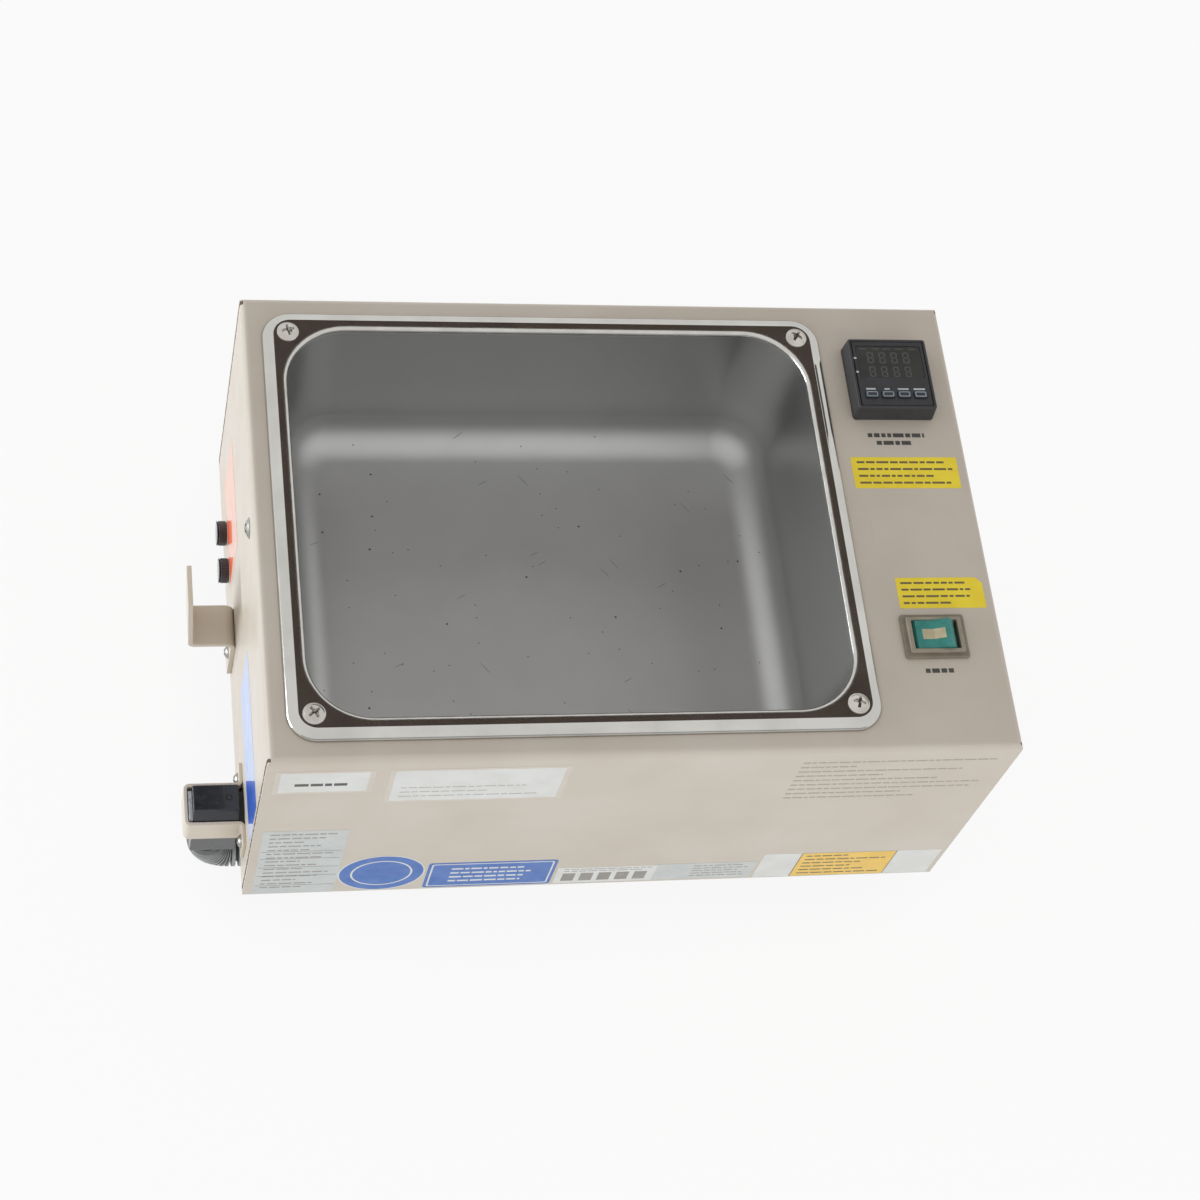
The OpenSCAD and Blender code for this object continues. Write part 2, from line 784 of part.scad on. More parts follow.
module controller_clamp() {
    outer = body_s + 2 * clamp_wall;
    inner = body_s + 2 * seat_gap;
    color("#3a3a3c") on_case(controller_x, controller_y, case_h - sheet_t - clamp_h) difference() {
        rounded_slab(outer, outer, clamp_h, bezel_r);
        translate([0, 0, -1]) rounded_slab(inner, inner, clamp_h + 2, body_r);
    }
}

function key_place(i) = (i - 1.5) * key_pitch;

// A key of the controller: its cap stands in the bezel, and its skirt lies under the bezel's face
module controller_key(i) {
    skirt_low = bezel_h - bezel_face - seat_gap - key_skirt;
    color("#3c3c40") on_case(controller_x + key_place(i), controller_y + key_y, case_h) {
        translate([0, 0, skirt_low]) rounded_slab(key_w, key_d, bezel_h + key_proud - skirt_low, key_r);
        translate([0, 0, skirt_low])
            rounded_slab(key_w + 2 * key_lap, key_d + 2 * key_lap, key_skirt, key_r);
    }
}

module set_key() {
    controller_key(0);
}

module shift_key() {
    controller_key(1);
}

module down_key() {
    controller_key(2);
}

module up_key() {
    controller_key(3);
}

switch_body_w = rocker_w + 2 * rocker_gap + 2 * switch_wall;
switch_body_d = rocker_d + 2 * rocker_gap + 2 * switch_wall;

module switch_body() {
    well_w = rocker_w + 2 * rocker_gap;
    well_d = rocker_d + 2 * rocker_gap;
    well_low = rocker_pivot - rocker_w / 2 - rocker_gap;
    color("#8a7f6c") on_case(switch_x, switch_y) difference() {
        union() {
            translate([0, 0, case_h]) rounded_slab(switch_w, switch_d, switch_flange_h, 1.5);
            translate([0, 0, case_h])
                rounded_slab(switch_w - 2 * switch_step, switch_d - 2 * switch_step, switch_frame_h, 1);
            translate([0, 0, case_h - switch_len])
                rounded_slab(switch_body_w, switch_body_d, switch_len + 1, body_r);
        }
        translate([0, 0, well_low]) rounded_slab(well_w, well_d, case_h, 0.3);
        translate([0, 0, rocker_pivot]) rotate([90, 0, 0])
            cylinder(d = rocker_pin_d + run_gap, h = well_d + 2, center = true);
    }
}

// The rocker's section: ends round its pivot, and a top of two flats that meet in a shallow valley
module rocker_section() {
    valley = switch_frame_h + case_h - rocker_pivot;
    half = rocker_w / 2 + 1;
    intersection() {
        circle(d = rocker_w);
        polygon([
            [-half, -rocker_w / 4],
            [half, -rocker_w / 4],
            [half, valley + half * tan(rocker_tilt)],
            [0, valley],
            [-half, valley + half * tan(rocker_tilt)]
        ]);
    }
}

module switch_rocker() {
    pin_len = rocker_d + 2 * rocker_gap + switch_wall;
    color("#3e8c82") on_case(switch_x, switch_y, rocker_pivot)
        rotate([0, -rocker_tilt, 0]) rotate([90, 0, 0]) {
            linear_extrude(rocker_d, center = true) rocker_section();
            cylinder(d = rocker_pin_d, h = pin_len, center = true);
        }
}

module switch_terminals() {
    tab_x = 8;
    tab_y = 5;
    tab_drop = 9;
    color("#c9c9c4") for (x = [-1, 1], y = [-1, 1]) {
        on_case(switch_x + x * tab_x, switch_y + y * tab_y, case_h - switch_len - tab_drop)
            translate([-tab_t / 2, -tab_w / 2, 0]) cube([tab_t, tab_w, tab_drop]);
    }
}

// Repeats a piece at the places of the two fuses on the left wall
module at_fuse(side) {
    on_left(fuse_y + side * fuse_pitch / 2, fuse_z) children();
}

module fuse_holders() {
    bore = fuse_link_d + 2 * run_gap;
    color("#1f1f21") for (side = [-1, 1]) {
        at_fuse(side) difference() {
            union() {
                cylinder(d = fuse_collar_d, h = fuse_collar_h);
                translate([0, 0, -fuse_body_len]) cylinder(d = fuse_body_d, h = fuse_body_len + fuse_collar_h / 2);
                translate([0, 0, -fuse_body_len - fuse_tail_len])
                    cylinder(d = fuse_tail_d, h = fuse_tail_len + 1);
            }
            translate([0, 0, fuse_floor - fuse_body_len])
                cylinder(d = bore, h = fuse_body_len + fuse_collar_h);
        }
    }
}

module fuse_nuts() {
    color("#3a3a3a") for (side = [-1, 1]) {
        at_fuse(side) translate([0, 0, -sheet_t - fuse_nut_h]) hex_nut(fuse_nut, fuse_nut_h, fuse_body_d);
    }
}

// A glass fuse with its metal ends
module fuse_link(side) {
    color("#d9d9d4") at_fuse(side) translate([0, 0, fuse_link_top - fuse_link_len]) {
        cylinder(d = fuse_glass_d, h = fuse_link_len);
        for (z = [0, fuse_link_len - fuse_end_len]) {
            translate([0, 0, z]) cylinder(d = fuse_link_d, h = fuse_end_len);
        }
    }
}

fuse_link_top = fuse_collar_h + fuse_cap_grip;

// The knurled cap that holds the outer end of a fuse
module fuse_cap(side) {
    knurls = 18;
    dome_h = 1;
    dome_d = fuse_cap_d - 1;
    dome_r = (dome_h * dome_h + dome_d * dome_d / 4) / (2 * dome_h);
    color("#26262a") at_fuse(side) translate([0, 0, fuse_collar_h + seat_gap]) difference() {
        union() {
            cylinder(d = fuse_cap_d, h = fuse_cap_len);
            translate([0, 0, fuse_cap_len]) intersection() {
                cylinder(d = dome_d, h = dome_h);
                translate([0, 0, dome_h - dome_r]) sphere(dome_r);
            }
        }
        translate([0, 0, -1]) cylinder(d = fuse_link_d + 2 * seat_gap, h = fuse_cap_grip + 1);
        for (i = [0:knurls - 1]) {
            rotate(i * 360 / knurls) translate([fuse_cap_d / 2, 0, -1]) cylinder(d = 1, h = fuse_cap_len);
        }
    }
}

module fuse_rear() {
    fuse_link(1);
}

module fuse_front() {
    fuse_link(-1);
}

module fuse_cap_rear() {
    fuse_cap(1);
}

module fuse_cap_front() {
    fuse_cap(-1);
}

module mains_inlet() {
    color("#1d1d1f") on_left(strap_y, inlet_z) difference() {
        union() {
            rounded_slab(inlet_h, inlet_y, inlet_flange, 2);
            translate([0, 0, -inlet_len]) rounded_slab(inlet_h - 2.4, inlet_y - 2.4, inlet_len + 1, 1.5);
        }
        translate([0, 0, inlet_flange - nose_len - 1])
            rounded_slab(nose_h + 2 * seat_gap, nose_y + 2 * seat_gap, nose_len + 2, nose_r + seat_gap);
        for (p = pin_places) {
            translate([p.x - 2, p.y - 1, -inlet_len - 1]) cube([4, 2, inlet_len]);
        }
    }
}

// Places of the three pins in the inlet
pin_places = [[2, 0], [-3, 5], [-3, -5]];

module inlet_pins() {
    color("#c9c9c4") on_left(strap_y, inlet_z) for (p = pin_places) {
        translate([p.x - 2, p.y - 1, -inlet_len - 7]) cube([4, 2, inlet_len + 3]);
    }
}

// Section of the connector's moulding, seen along the wall's normal: its upper front edge slopes
module connector_section() {
    half = block_y / 2;
    polygon([
        [block_low, -half + 1.5],
        [block_low + 1.5, -half],
        [block_top - 9, -half],
        [block_top, -half + 5],
        [block_top, half],
        [block_low + 1.5, half],
        [block_low, half - 1.5]
    ]);
}

module mains_connector() {
    out = case_left - block_left;
    bevel = 4;
    color("#1c1e22") on_left(strap_y, 0) difference() {
        union() {
            translate([0, 0, inlet_flange + seat_gap])
                linear_extrude(out - inlet_flange - seat_gap) connector_section();
            translate([inlet_z, 0, inlet_flange - nose_len])
                rounded_slab(nose_h, nose_y, nose_len + 1, nose_r);
        }
        for (p = pin_places) {
            translate([inlet_z + p.x - 2.2, p.y - 1.2, -nose_len - 1]) cube([4.4, 2.4, nose_len + 2]);
        }
        translate([block_top, 0, out]) rotate([0, 45, 0]) cube([bevel, strap_w, bevel], center = true);
        translate([block_low, 0, out]) rotate([0, 45, 0]) cube([bevel, strap_w, bevel], center = true);
    }
}

module connector_tag() {
    h = strap_h + 6;
    color("#dfe3e6") on_left(strap_y, 0) translate([block_top - 4 - h / 2, 0, case_left - block_left])
        rounded_slab(h, block_y - 2, tag_t, 2);
}

// The boot: a smooth neck below the connector, then ribs round a quarter bend and a short tail
module connector_boot() {
    step = 90 / boot_ribs;
    color("#7d807d") on_case(boot_x + boot_bend, strap_y, block_low - boot_neck) {
        translate([-boot_bend, 0, 0]) cylinder(d = boot_root_d, h = boot_neck);
        rotate([90, 0, 0]) {
            rotate(180) rotate_extrude(angle = 90) translate([boot_bend, 0]) circle(d = boot_root_d);
            for (i = [0:boot_ribs - 1]) {
                rotate(180 + i * step) rotate_extrude(angle = boot_rib_angle)
                    translate([boot_bend, 0]) circle(d = boot_d);
            }
        }
        translate([0, 0, -boot_bend]) rotate([0, 90, 0]) {
            cylinder(d = boot_root_d, h = boot_tail_ribs * boot_tail_pitch);
            for (i = [0:boot_tail_ribs - 1]) {
                translate([0, 0, i * boot_tail_pitch]) cylinder(d = boot_d, h = boot_tail_pitch * 0.55);
            }
        }
    }
}

// Points of a smooth line through a route, whose first and last stretches stay straight
function blend_point(a, b, c, d, t) = 0.5 * (
    2 * b + (c - a) * t + (2 * a - 5 * b + 4 * c - d) * t * t + (3 * b - a - 3 * c + d) * t * t * t
);
function smooth(route, steps) = let (last = len(route) - 1) concat(
    [route[0]],
    [for (i = [1:last - 2], k = [0:steps - 1])
        blend_point(route[i - 1], route[i], route[i + 1], route[i + 2], k / steps)],
    [route[last - 1], route[last]]
);

// Sweeps a round tube along points that are never upright
function tangent(p, i) = let (v = p[min(i + 1, len(p) - 1)] - p[max(i - 1, 0)]) v / norm(v);
function sideways(t) = let (v = cross([0, 0, 1], t)) v / norm(v);
function ring(p, i, r, n) = let (t = tangent(p, i), s = sideways(t), u = cross(t, s))
    [for (k = [0:n - 1]) p[i] + r * (cos(360 * k / n) * s + sin(360 * k / n) * u)];

module sweep(points, d, n) {
    last = len(points) - 1;
    rings = [for (i = [0:last]) each ring(points, i, d / 2, n)];
    sides = [for (i = [0:last - 1], k = [0:n - 1]) let (a = i * n + k, b = i * n + (k + 1) % n)
        each [[a, b, a + n], [b, b + n, a + n]]];
    caps = [for (k = [1:n - 2]) each [[0, k + 1, k], [last * n, last * n + k, last * n + k + 1]]];
    polyhedron([for (p = rings) p + [case_x, 0, 0]], concat(sides, caps));
}

// The coil: turns wind in and out again layer by layer, and climb in the half turn at each reversal
coil_total = coil_layers * coil_turns;
function coil_radius(t) = let (k = floor(t / coil_turns), u = t - k * coil_turns)
    k % 2 == 0 ? coil_r - u * coil_step : coil_in + u * coil_step;
function coil_layer(t) = let (k = floor(t / coil_turns), n = round(t / coil_turns), u = t - n * coil_turns)
    n >= 1 && n <= coil_layers - 1 && abs(u) < 0.25 ? n - 0.5 + 2 * u : min(k, coil_layers - 1);
function coil_point(t) = [
    coil_x - min(coil_radius(t), coil_r) * cos(360 * t),
    coil_y + min(coil_radius(t), coil_r) * sin(360 * t),
    coil_z + coil_layer(t) * coil_step
];
coil_points = concat(
    [coil_out - [0, cord_d, 0]],
    [for (i = [0:coil_total * coil_rings]) coil_point(i / coil_rings)],
    [tail_start]
);

// Least gap between turns of the coil, measured on its points
coil_gap = min([
    for (i = [0:len(coil_points) - 1], j = [i + 12:len(coil_points) - 1])
        norm(coil_points[i] - coil_points[j]) - cord_d
]);
echo(coil_gap = coil_gap);

module mains_cord() {
    color("#6f7270") sweep(smooth(cord_route, cord_steps), cord_d, cord_sides);
}

module mains_cord_coil() {
    color("#6f7270") sweep(coil_points, cord_d, coil_sides);
}

module mains_cord_tail() {
    color("#6f7270") sweep(smooth(tail_route, cord_steps), cord_d, cord_sides);
}

module mains_plug() {
    color("#55585a") translate([case_x, 0, 0] + plug_start) rotate([90, 0, 90]) {
        cylinder(d = plug_neck_d, h = plug_neck_len + 1);
        translate([0, 0, plug_neck_len]) rounded_slab(plug_w, plug_h, plug_len, 6);
    }
}

module plug_blades() {
    blade_len = 18;
    color("#c2a24e") translate([case_x, 0, 0] + plug_start + [plug_neck_len + plug_len, 0, 0]) {
        for (y = [-1, 1]) {
            translate([0, y * 6.35 - 0.75, -1]) cube([blade_len, 1.5, 6.3]);
        }
        translate([0, 0, -7]) rotate([0, 90, 0]) cylinder(d = 4.8, h = blade_len + 3);
    }
}

// Strap round the coil's bundle on the side toward the case
module cord_tie() {
    tie_t = 1;
    tie_w = 10;
    inside_w = coil_r - coil_in + cord_d + 2 * run_gap;
    inside_h = coil_height - coil_z + cord_d + 2 * run_gap;
    mid_r = (coil_r + coil_in) / 2;
    mid_z = (coil_height + coil_z) / 2;
    color("#2b2b2d") translate([case_x + coil_x, coil_y - mid_r, mid_z]) rotate([90, 0, 90])
        linear_extrude(tie_w, center = true) difference() {
            rounded_rect(inside_w + 2 * tie_t, inside_h + 2 * tie_t, 3);
            rounded_rect(inside_w, inside_h, 2);
        }
}

strap_mid = strap_top - strap_h / 2;
strap_screw_y = strap_w / 2 + strap_flange / 2;
hook_screw_z = hook_z - hook_screw_drop;

// Strap of folded strip: two flanges on the wall, two sides and an outer face
module retention_strap() {
    half = strap_w / 2;
    bend = 1.5 * strip_t;
    color("#c9bfb2") on_left(strap_y, strap_top - strap_h) rotate([0, 90, 0]) mirror([1, 0, 0])
        difference() {
            linear_extrude(strap_h) {
                difference() {
                    union() {
                        translate([0, -half]) square([strap_reach - bend, strap_w]);
                        translate([0, bend - half]) square([strap_reach, strap_w - 2 * bend]);
                        for (y = [-1, 1]) {
                            translate([strap_reach - bend, y * (half - bend)]) circle(bend);
                        }
                    }
                    translate([-1, strip_t - half])
                        square([strap_reach - strip_t + 1, strap_w - 2 * strip_t]);
                }
                for (y = [-1, 1]) {
                    translate([0, y > 0 ? half - strip_t : -half - strap_flange])
                        square([strip_t, strap_flange + strip_t]);
                }
            }
            for (y = [-1, 1]) {
                translate([-1, y * strap_screw_y, strap_h / 2]) rotate([0, 90, 0])
                    cylinder(d = screw_hole, h = strip_t + 2);
            }
        }
}

module strap_screws() {
    color("#a8a49c") for (y = [-1, 1]) {
        on_left(strap_y + y * strap_screw_y, strap_mid) translate([0, 0, strip_t])
            dome_screw(wall_head_d, wall_head_h, wall_screw_d, wall_screw_len);
    }
}

// Hook of folded strip: a flange that hangs on the wall, a shelf and an upright tip
module cord_hook() {
    color("#c9bfb2") on_left(hook_y, hook_z) rotate([90, 0, 0]) difference() {
        linear_extrude(hook_w, center = true) {
            translate([-hook_flange, 0]) square([hook_flange, hook_t]);
            translate([-hook_t, 0]) square([hook_t, hook_reach]);
            translate([-hook_t, hook_reach - hook_t]) rotate(hook_splay)
                square([hook_tip + hook_t, hook_t]);
        }
        for (y = [-1, 1]) {
            translate([-hook_screw_drop, -1, y * hook_screw_out]) rotate([-90, 0, 0])
                cylinder(d = screw_hole, h = hook_t + 2);
        }
    }
}

module hook_screws() {
    color("#a8a49c") for (y = [-1, 1]) {
        on_left(hook_y + y * hook_screw_out, hook_screw_z) translate([0, 0, hook_t])
            dome_screw(wall_head_d, wall_head_h, wall_screw_d, wall_screw_len);
    }
}

module side_screw() {
    color("#a8a49c") on_left(side_screw_y, side_screw_z)
        dome_screw(side_head_d, side_head_h, wall_screw_d, side_screw_len);
}

// Lug behind the side screw that earths the cover
module earth_lug() {
    lug_t = 1;
    lug_d = 9;
    color("#c2a24e") on_left(side_screw_y, side_screw_z) translate([0, 0, -sheet_t - lug_t]) difference() {
        union() {
            cylinder(d = lug_d, h = lug_t);
            translate([-16, -2.5, 0]) cube([16, 5, lug_t]);
        }
        translate([0, 0, -1]) cylinder(d = wall_screw_d + 0.2, h = lug_t + 2);
    }
}

// Places of the pieces on the base
relay_inset_x = 83;
relay_inset_y = 72;
relay_x = case_right - relay_inset_x;
relay_y = case_front + relay_inset_y;
relay_w = 58;
relay_d = 45;
relay_h = 23;
relay_r = 2;
relay_screw_x = 23;
relay_foot = 5;
terminal_shift = 7;
terminal_back = 82;
terminal_x = basin_x - terminal_shift;
terminal_y = case_rear - terminal_back;
terminal_pitch = 10;
terminal_d = 22;
terminal_h = 15;
terminal_row = 6;
terminal_well = 9;
terminal_bore = 6;
earth_inset = 93;
earth_x = case_left + earth_inset;
earth_y = 20;
stud_d = 5;
stud_len = 16;
stud_nut = 8;
stud_nut_h = 4;
loom_d = 8;
loom_z = base_t + loom_d / 2 + seat_gap;
loom_route = [
    [case_left + 40, strap_y + 24, foot_h + loom_z],
    [case_left + 70, strap_y + 26, foot_h + loom_z],
    [case_left + 133, strap_y + 44, foot_h + loom_z],
    [basin_x + 13, -20, foot_h + loom_z],
    [basin_x + 83, 0, foot_h + loom_z],
    [case_right - 93, 4, foot_h + loom_z],
    [case_right - 53, 10, foot_h + loom_z]
];

case_cover();
base_plate();
rubber_feet();
foot_screws();
foot_nuts();
basin();
basin_gasket();
basin_screws();
basin_nuts();
heater_mat();
insulation_blanket();
high_limit_thermostat();
temperature_probe();
solid_state_relay();
relay_screws();
terminal_block();
earth_stud();
wiring_loom();
controller_housing();
controller_window();
controller_board();
controller_clamp();
set_key();
shift_key();
down_key();
up_key();
switch_body();
switch_rocker();
switch_terminals();
fuse_holders();
fuse_nuts();
fuse_rear();
fuse_front();
fuse_cap_rear();
fuse_cap_front();
mains_inlet();
inlet_pins();
mains_connector();
connector_tag();
connector_boot();
mains_cord();
mains_cord_coil();
mains_cord_tail();
mains_plug();
plug_blades();
cord_tie();
retention_strap();
strap_screws();
cord_hook();
hook_screws();
side_screw();
earth_lug();
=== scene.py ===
"""Looks of a bench warmer for surgical solutions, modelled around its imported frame."""

import math
import random
from types import SimpleNamespace

import bmesh
import bpy
from bmesh.types import BMEdge, BMFace, BMVert
from bpy.props import FloatProperty, FloatVectorProperty, IntProperty, PointerProperty
from mathutils import Matrix, Vector


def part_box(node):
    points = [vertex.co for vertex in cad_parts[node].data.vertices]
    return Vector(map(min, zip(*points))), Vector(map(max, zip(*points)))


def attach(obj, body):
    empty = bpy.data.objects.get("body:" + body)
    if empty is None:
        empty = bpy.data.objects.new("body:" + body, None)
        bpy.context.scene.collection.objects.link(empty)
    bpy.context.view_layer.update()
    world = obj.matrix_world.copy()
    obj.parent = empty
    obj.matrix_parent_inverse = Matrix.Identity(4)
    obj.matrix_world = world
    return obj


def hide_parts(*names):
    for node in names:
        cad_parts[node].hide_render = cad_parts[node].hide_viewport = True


bl_info = {
    "name": "Solution warmer",
    "version": (1, 0, 0),
    "blender": (4, 5, 0),
    "location": "3D View > Sidebar > Warmer",
    "description": "Builds the visible pieces of a bench warmer for surgical solutions",
    "category": "Object",
}

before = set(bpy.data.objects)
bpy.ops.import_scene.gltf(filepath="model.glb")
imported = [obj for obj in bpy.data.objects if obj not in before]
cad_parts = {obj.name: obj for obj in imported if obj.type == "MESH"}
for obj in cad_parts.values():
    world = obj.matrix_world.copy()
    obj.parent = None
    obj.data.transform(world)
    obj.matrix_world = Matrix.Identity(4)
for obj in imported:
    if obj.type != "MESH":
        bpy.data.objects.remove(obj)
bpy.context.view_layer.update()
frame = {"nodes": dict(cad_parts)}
MM = 0.001


def span(name):
    """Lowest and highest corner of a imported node, in millimetres."""
    low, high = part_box(name)
    return low / MM, high / MM


def extent(name):
    """Lowest corner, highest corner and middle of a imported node, in millimetres."""
    low, high = span(name)
    return low, high, (low + high) / 2


CASE_LOW, CASE_HIGH = span("case_cover")
CASE_MID = (CASE_LOW + CASE_HIGH) / 2


def linear(text):
    """Linear colour, with alpha, of an sRGB hex value."""
    parts = [int(text[i:i + 2], 16) / 255 for i in (0, 2, 4)]
    return [c / 12.92 if c <= 0.04045 else ((c + 0.055) / 1.055) ** 2.4 for c in parts] + [1.0]


def plain(name, note, value, **kind):
    """A number that a user may change."""
    return FloatProperty(name=name, description=note, default=value, **kind)


def size(name, note, value):
    """A length that a user may change, given in millimetres."""
    return plain(name, note, value * MM, unit="LENGTH", precision=5)


def spot(name, note, place):
    """A point that a user may move."""
    return FloatVectorProperty(name=name, description=note, default=place, subtype="TRANSLATION")


def colour(name, note, text):
    """A colour that a user may change, given as an sRGB hex value."""
    return FloatVectorProperty(
        name=name, description=note, default=linear(text), subtype="COLOR", size=4, min=0, max=1
    )


def count(name, note, value):
    """A number of like features that a user may change."""
    return IntProperty(name=name, description=note, default=value, min=1)


class CaseSettings(bpy.types.PropertyGroup):
    """Sizes and colours of the folded cover and the feet."""

    sheet: size("Sheet", "Thickness of the painted sheet", 1.5)
    bend: size("Bend", "Outer radius of the bends along the top", 4.0)
    seam: size("Seam", "Width of the open seams at the upright corners", 1.2)
    hem: size("Hem", "Width of the turned edge in front of a seam", 2.2)
    front_set: size("Front set-in", "Room left in front for the plates on the front wall", 0.25)
    paint: colour("Enamel", "Colour of the baked enamel", "d0c6b9")
    paint_shade: colour("Aged enamel", "Colour of the enamel where it has yellowed", "cabfb0")
    rust: colour("Chipped edge", "Colour where the enamel is chipped off", "5d4c40")
    foot: colour("Feet", "Colour of the rubber feet", "2a2a2b")


class BasinSettings(bpy.types.PropertyGroup):
    """Sizes and colours of the pressed basin."""

    corner: size("Corner", "Corner radius of the opening", 34.0)
    cove: size("Cove", "Radius between the walls and the floor", 22.0)
    lip: size("Lip", "Radius of the bright lip round the opening", 3.0)
    side: size("Rim side", "Width of the flat rim at the left and right", 12.5)
    end: size("Rim end", "Width of the flat rim at the front and rear", 12.5)
    rim_corner: size("Rim corner", "Corner radius of the rim", 16.0)
    rim_roll: size("Rim roll", "Height of the rolled outer edge", 4.2)
    rim_bead: size("Rim bead", "Width of the rolled outer edge", 6.3)
    sheet: size("Sheet", "Thickness of the pressed sheet", 1.0)
    screw_in: size("Screw inset", "Distance of the rim screws from the edges", 14.2)
    draft: plain("Draft", "Slope of the walls", math.radians(4), subtype="ANGLE")
    steel: colour("Satin steel", "Colour of the satin bowl", "babab9")
    bright: colour("Polished steel", "Colour of the polished rim", "c9c7c2")


class PanelSettings(bpy.types.PropertyGroup):
    """Sizes and colours of the controller and the switch."""

    bezel_edge: size("Bezel edge", "Rounding of the controller's bezel", 0.8)
    bezel_draft: size("Bezel draft", "How much narrower the bezel's face is than its foot", 1.3)
    border: size("Border", "Width of the bezel's border outside its groove", 1.7)
    digit: size("Digit height", "Height of the upper row of digits", 7.6)
    key_line: size("Key line", "Width of the printed line round a key", 0.55)
    step: size("Switch step", "Width of the lower step of the switch frame", 2.6)
    flange: size("Switch flange", "Height of the lower step of the switch frame", 2.0)
    rocker_length: size("Rocker length", "Length of the rocker", 25.7)
    rocker_breadth: size("Rocker breadth", "Breadth of the rocker", 16.9)
    rocker_drop: size("Pivot drop", "Depth of the rocker's pivot below the panel", 3.0)
    rocker_tilt: plain("Rocker tilt", "Tilt of the rocker to each side", math.radians(9), subtype="ANGLE")
    housing: colour("Controller", "Colour of the controller's housing", "2e2e30")
    window: colour("Window", "Colour of the display behind its window", "454644")
    segment: colour("Dark digit", "Colour of the unlit digits", "575856")
    print: colour("Key print", "Colour of the lines printed round the keys", "a3b3c0")
    legend: colour("Legend", "Colour of the plain bars on the controller's face", "d4d6d8")
    frame: colour("Switch frame", "Colour of the switch frame", "8a7f6e")
    rocker: colour("Rocker", "Colour of the rocker", "3d8c82")
    lens: colour("Rocker lens", "Colour of the lens let into the rocker", "c3b99b")


class WallSettings(bpy.types.PropertyGroup):
    """Sizes and colours of the pieces on the left wall."""

    strip: size("Strip", "Thickness of the strap's strip", 2.0)
    hook_strip: size("Hook strip", "Thickness of the hook's strip", 2.8)
    hook_fold: size("Hook fold", "Radius of the hook's fold at the wall at mid thickness", 4.6)
    fold: size("Fold", "Radius of the brackets' folds at mid thickness", 2.4)
    knurls: count("Knurls", "Grooves round a fuse cap", 36)
    groove: size("Knurl depth", "Depth of the grooves round a fuse cap", 0.35)
    rib: size("Boot rib", "Diameter of the boot's ribs", 22.4)
    root: size("Boot root", "Diameter of the boot between its ribs", 16.4)
    boot_bend: size("Boot bend", "Radius of the boot's bend at its middle", 14.5)
    bracket: colour("Bracket enamel", "Colour of the hook and the strap", "d6cbbb")
    fuse: colour("Fuse cap", "Colour of the fuse caps and holders", "4a4748")
    connector: colour("Connector", "Colour of the mains connector", "17191f")
    tag: colour("Tag", "Tint of the clear tag on the connector", "eef2f4")
    boot: colour("Boot", "Colour of the boot", "a7a9a7")


class CordSettings(bpy.types.PropertyGroup):
    """Sizes and colours of the mains lead."""

    diameter: size("Diameter", "Diameter of the lead", 7.6)
    length: size("Length", "Length of the lead from the boot to the plug", 3191.4)
    coil: size("Coil", "Radius of the coil's outermost turn", 52.0)
    space: size("Turn gap", "Space between neighbouring turns", 0.7)
    lift: size("Lift", "Height of the lead's underside above the table", 1.7)
    layers: count("Layers", "Layers of the coil", 4)
    behind: size("Behind", "Distance of the coil's middle from the rear wall", 60.0)
    exit: size("Exit height", "Height of the lead where it leaves the boot", 12.5)
    bend: size("First bend", "Radius of the bend after the boot", 40.0)
    fall: size("Fall", "Length over which the lead comes down to the table", 100.0)
    tail: size("Tail bend", "Radius of the bends between the coil and the plug", 36.0)
    run: size("Tail run", "Straight length between the bends of the tail", 25.0)
    over: plain("Tail turn", "Degrees that the tail turns past square", 25.0)
    sheath: colour("Sheath", "Colour of the lead's sheath", "707371")
    plug: colour("Plug", "Colour of the plug", "585b5d")
    tie: colour("Tie", "Colour of the woven tie", "2c2c2f")


class StageSettings(bpy.types.PropertyGroup):
    """Camera, lamps and floor."""

    eye: spot("Camera", "Place of the camera", (-0.3187, -0.7095, 1.4496))
    aim: spot("Aim", "Point that the camera looks at", (0.0181, -0.0032, 0.12))
    roll: plain("Roll", "Turn of the camera about its own axis", math.radians(21.79), subtype="ANGLE")
    lens: plain("Lens", "Focal length on a 36 mm sensor", 80.79, unit="CAMERA")
    key: plain("Key lamp", "Power of the lamp on the left", 158.0, unit="POWER")
    fill: plain("Front lamp", "Power of the lamp in front", 18.0, unit="POWER")
    key_tint: colour("Key tint", "Tint of the lamp on the left", "eef6ff")
    fill_tint: colour("Front tint", "Tint of the lamp in front", "f4faff")
    sky: plain("Sky", "Level of the light from all round", 0.65)
    floor: colour("Floor", "Colour of the floor", "f4f3f1")
    card: colour("Card", "Colour of the dark panel that the steel mirrors", "564c46")
    grey_card: colour("Grey card", "Colour of the grey panel in front that the steel mirrors", "bcbcbc")


GROUPS = {
    "warmer_case": CaseSettings,
    "warmer_basin": BasinSettings,
    "warmer_panel": PanelSettings,
    "warmer_wall": WallSettings,
    "warmer_cord": CordSettings,
    "warmer_stage": StageSettings,
}


def settings(group):
    """The values of a settings group, with its lengths in millimetres."""
    held = getattr(bpy.context.scene, group)
    values = {}
    for name in GROUPS[group].__annotations__:
        value = getattr(held, name)
        if getattr(held.bl_rna.properties[name], "unit", "") == "LENGTH" and name not in ("eye", "aim"):
            value = value / MM
        values[name] = value
    return SimpleNamespace(**values)


def node(tree, kind, inputs=None, **choices):
    """Adds a shader node with its choices, sets or links its inputs, and gives its outputs."""
    made = tree.nodes.new("ShaderNode" + kind)
    for name, value in choices.items():
        setattr(made, name, value)
    for name, value in (inputs or {}).items():
        if isinstance(value, bpy.types.NodeSocket):
            tree.links.new(value, made.inputs[name])
        else:
            made.inputs[name].default_value = value
    return made.outputs


def tone_of(value):
    """A linear colour, given as one or as an sRGB hex value."""
    return linear(value) if isinstance(value, str) else value


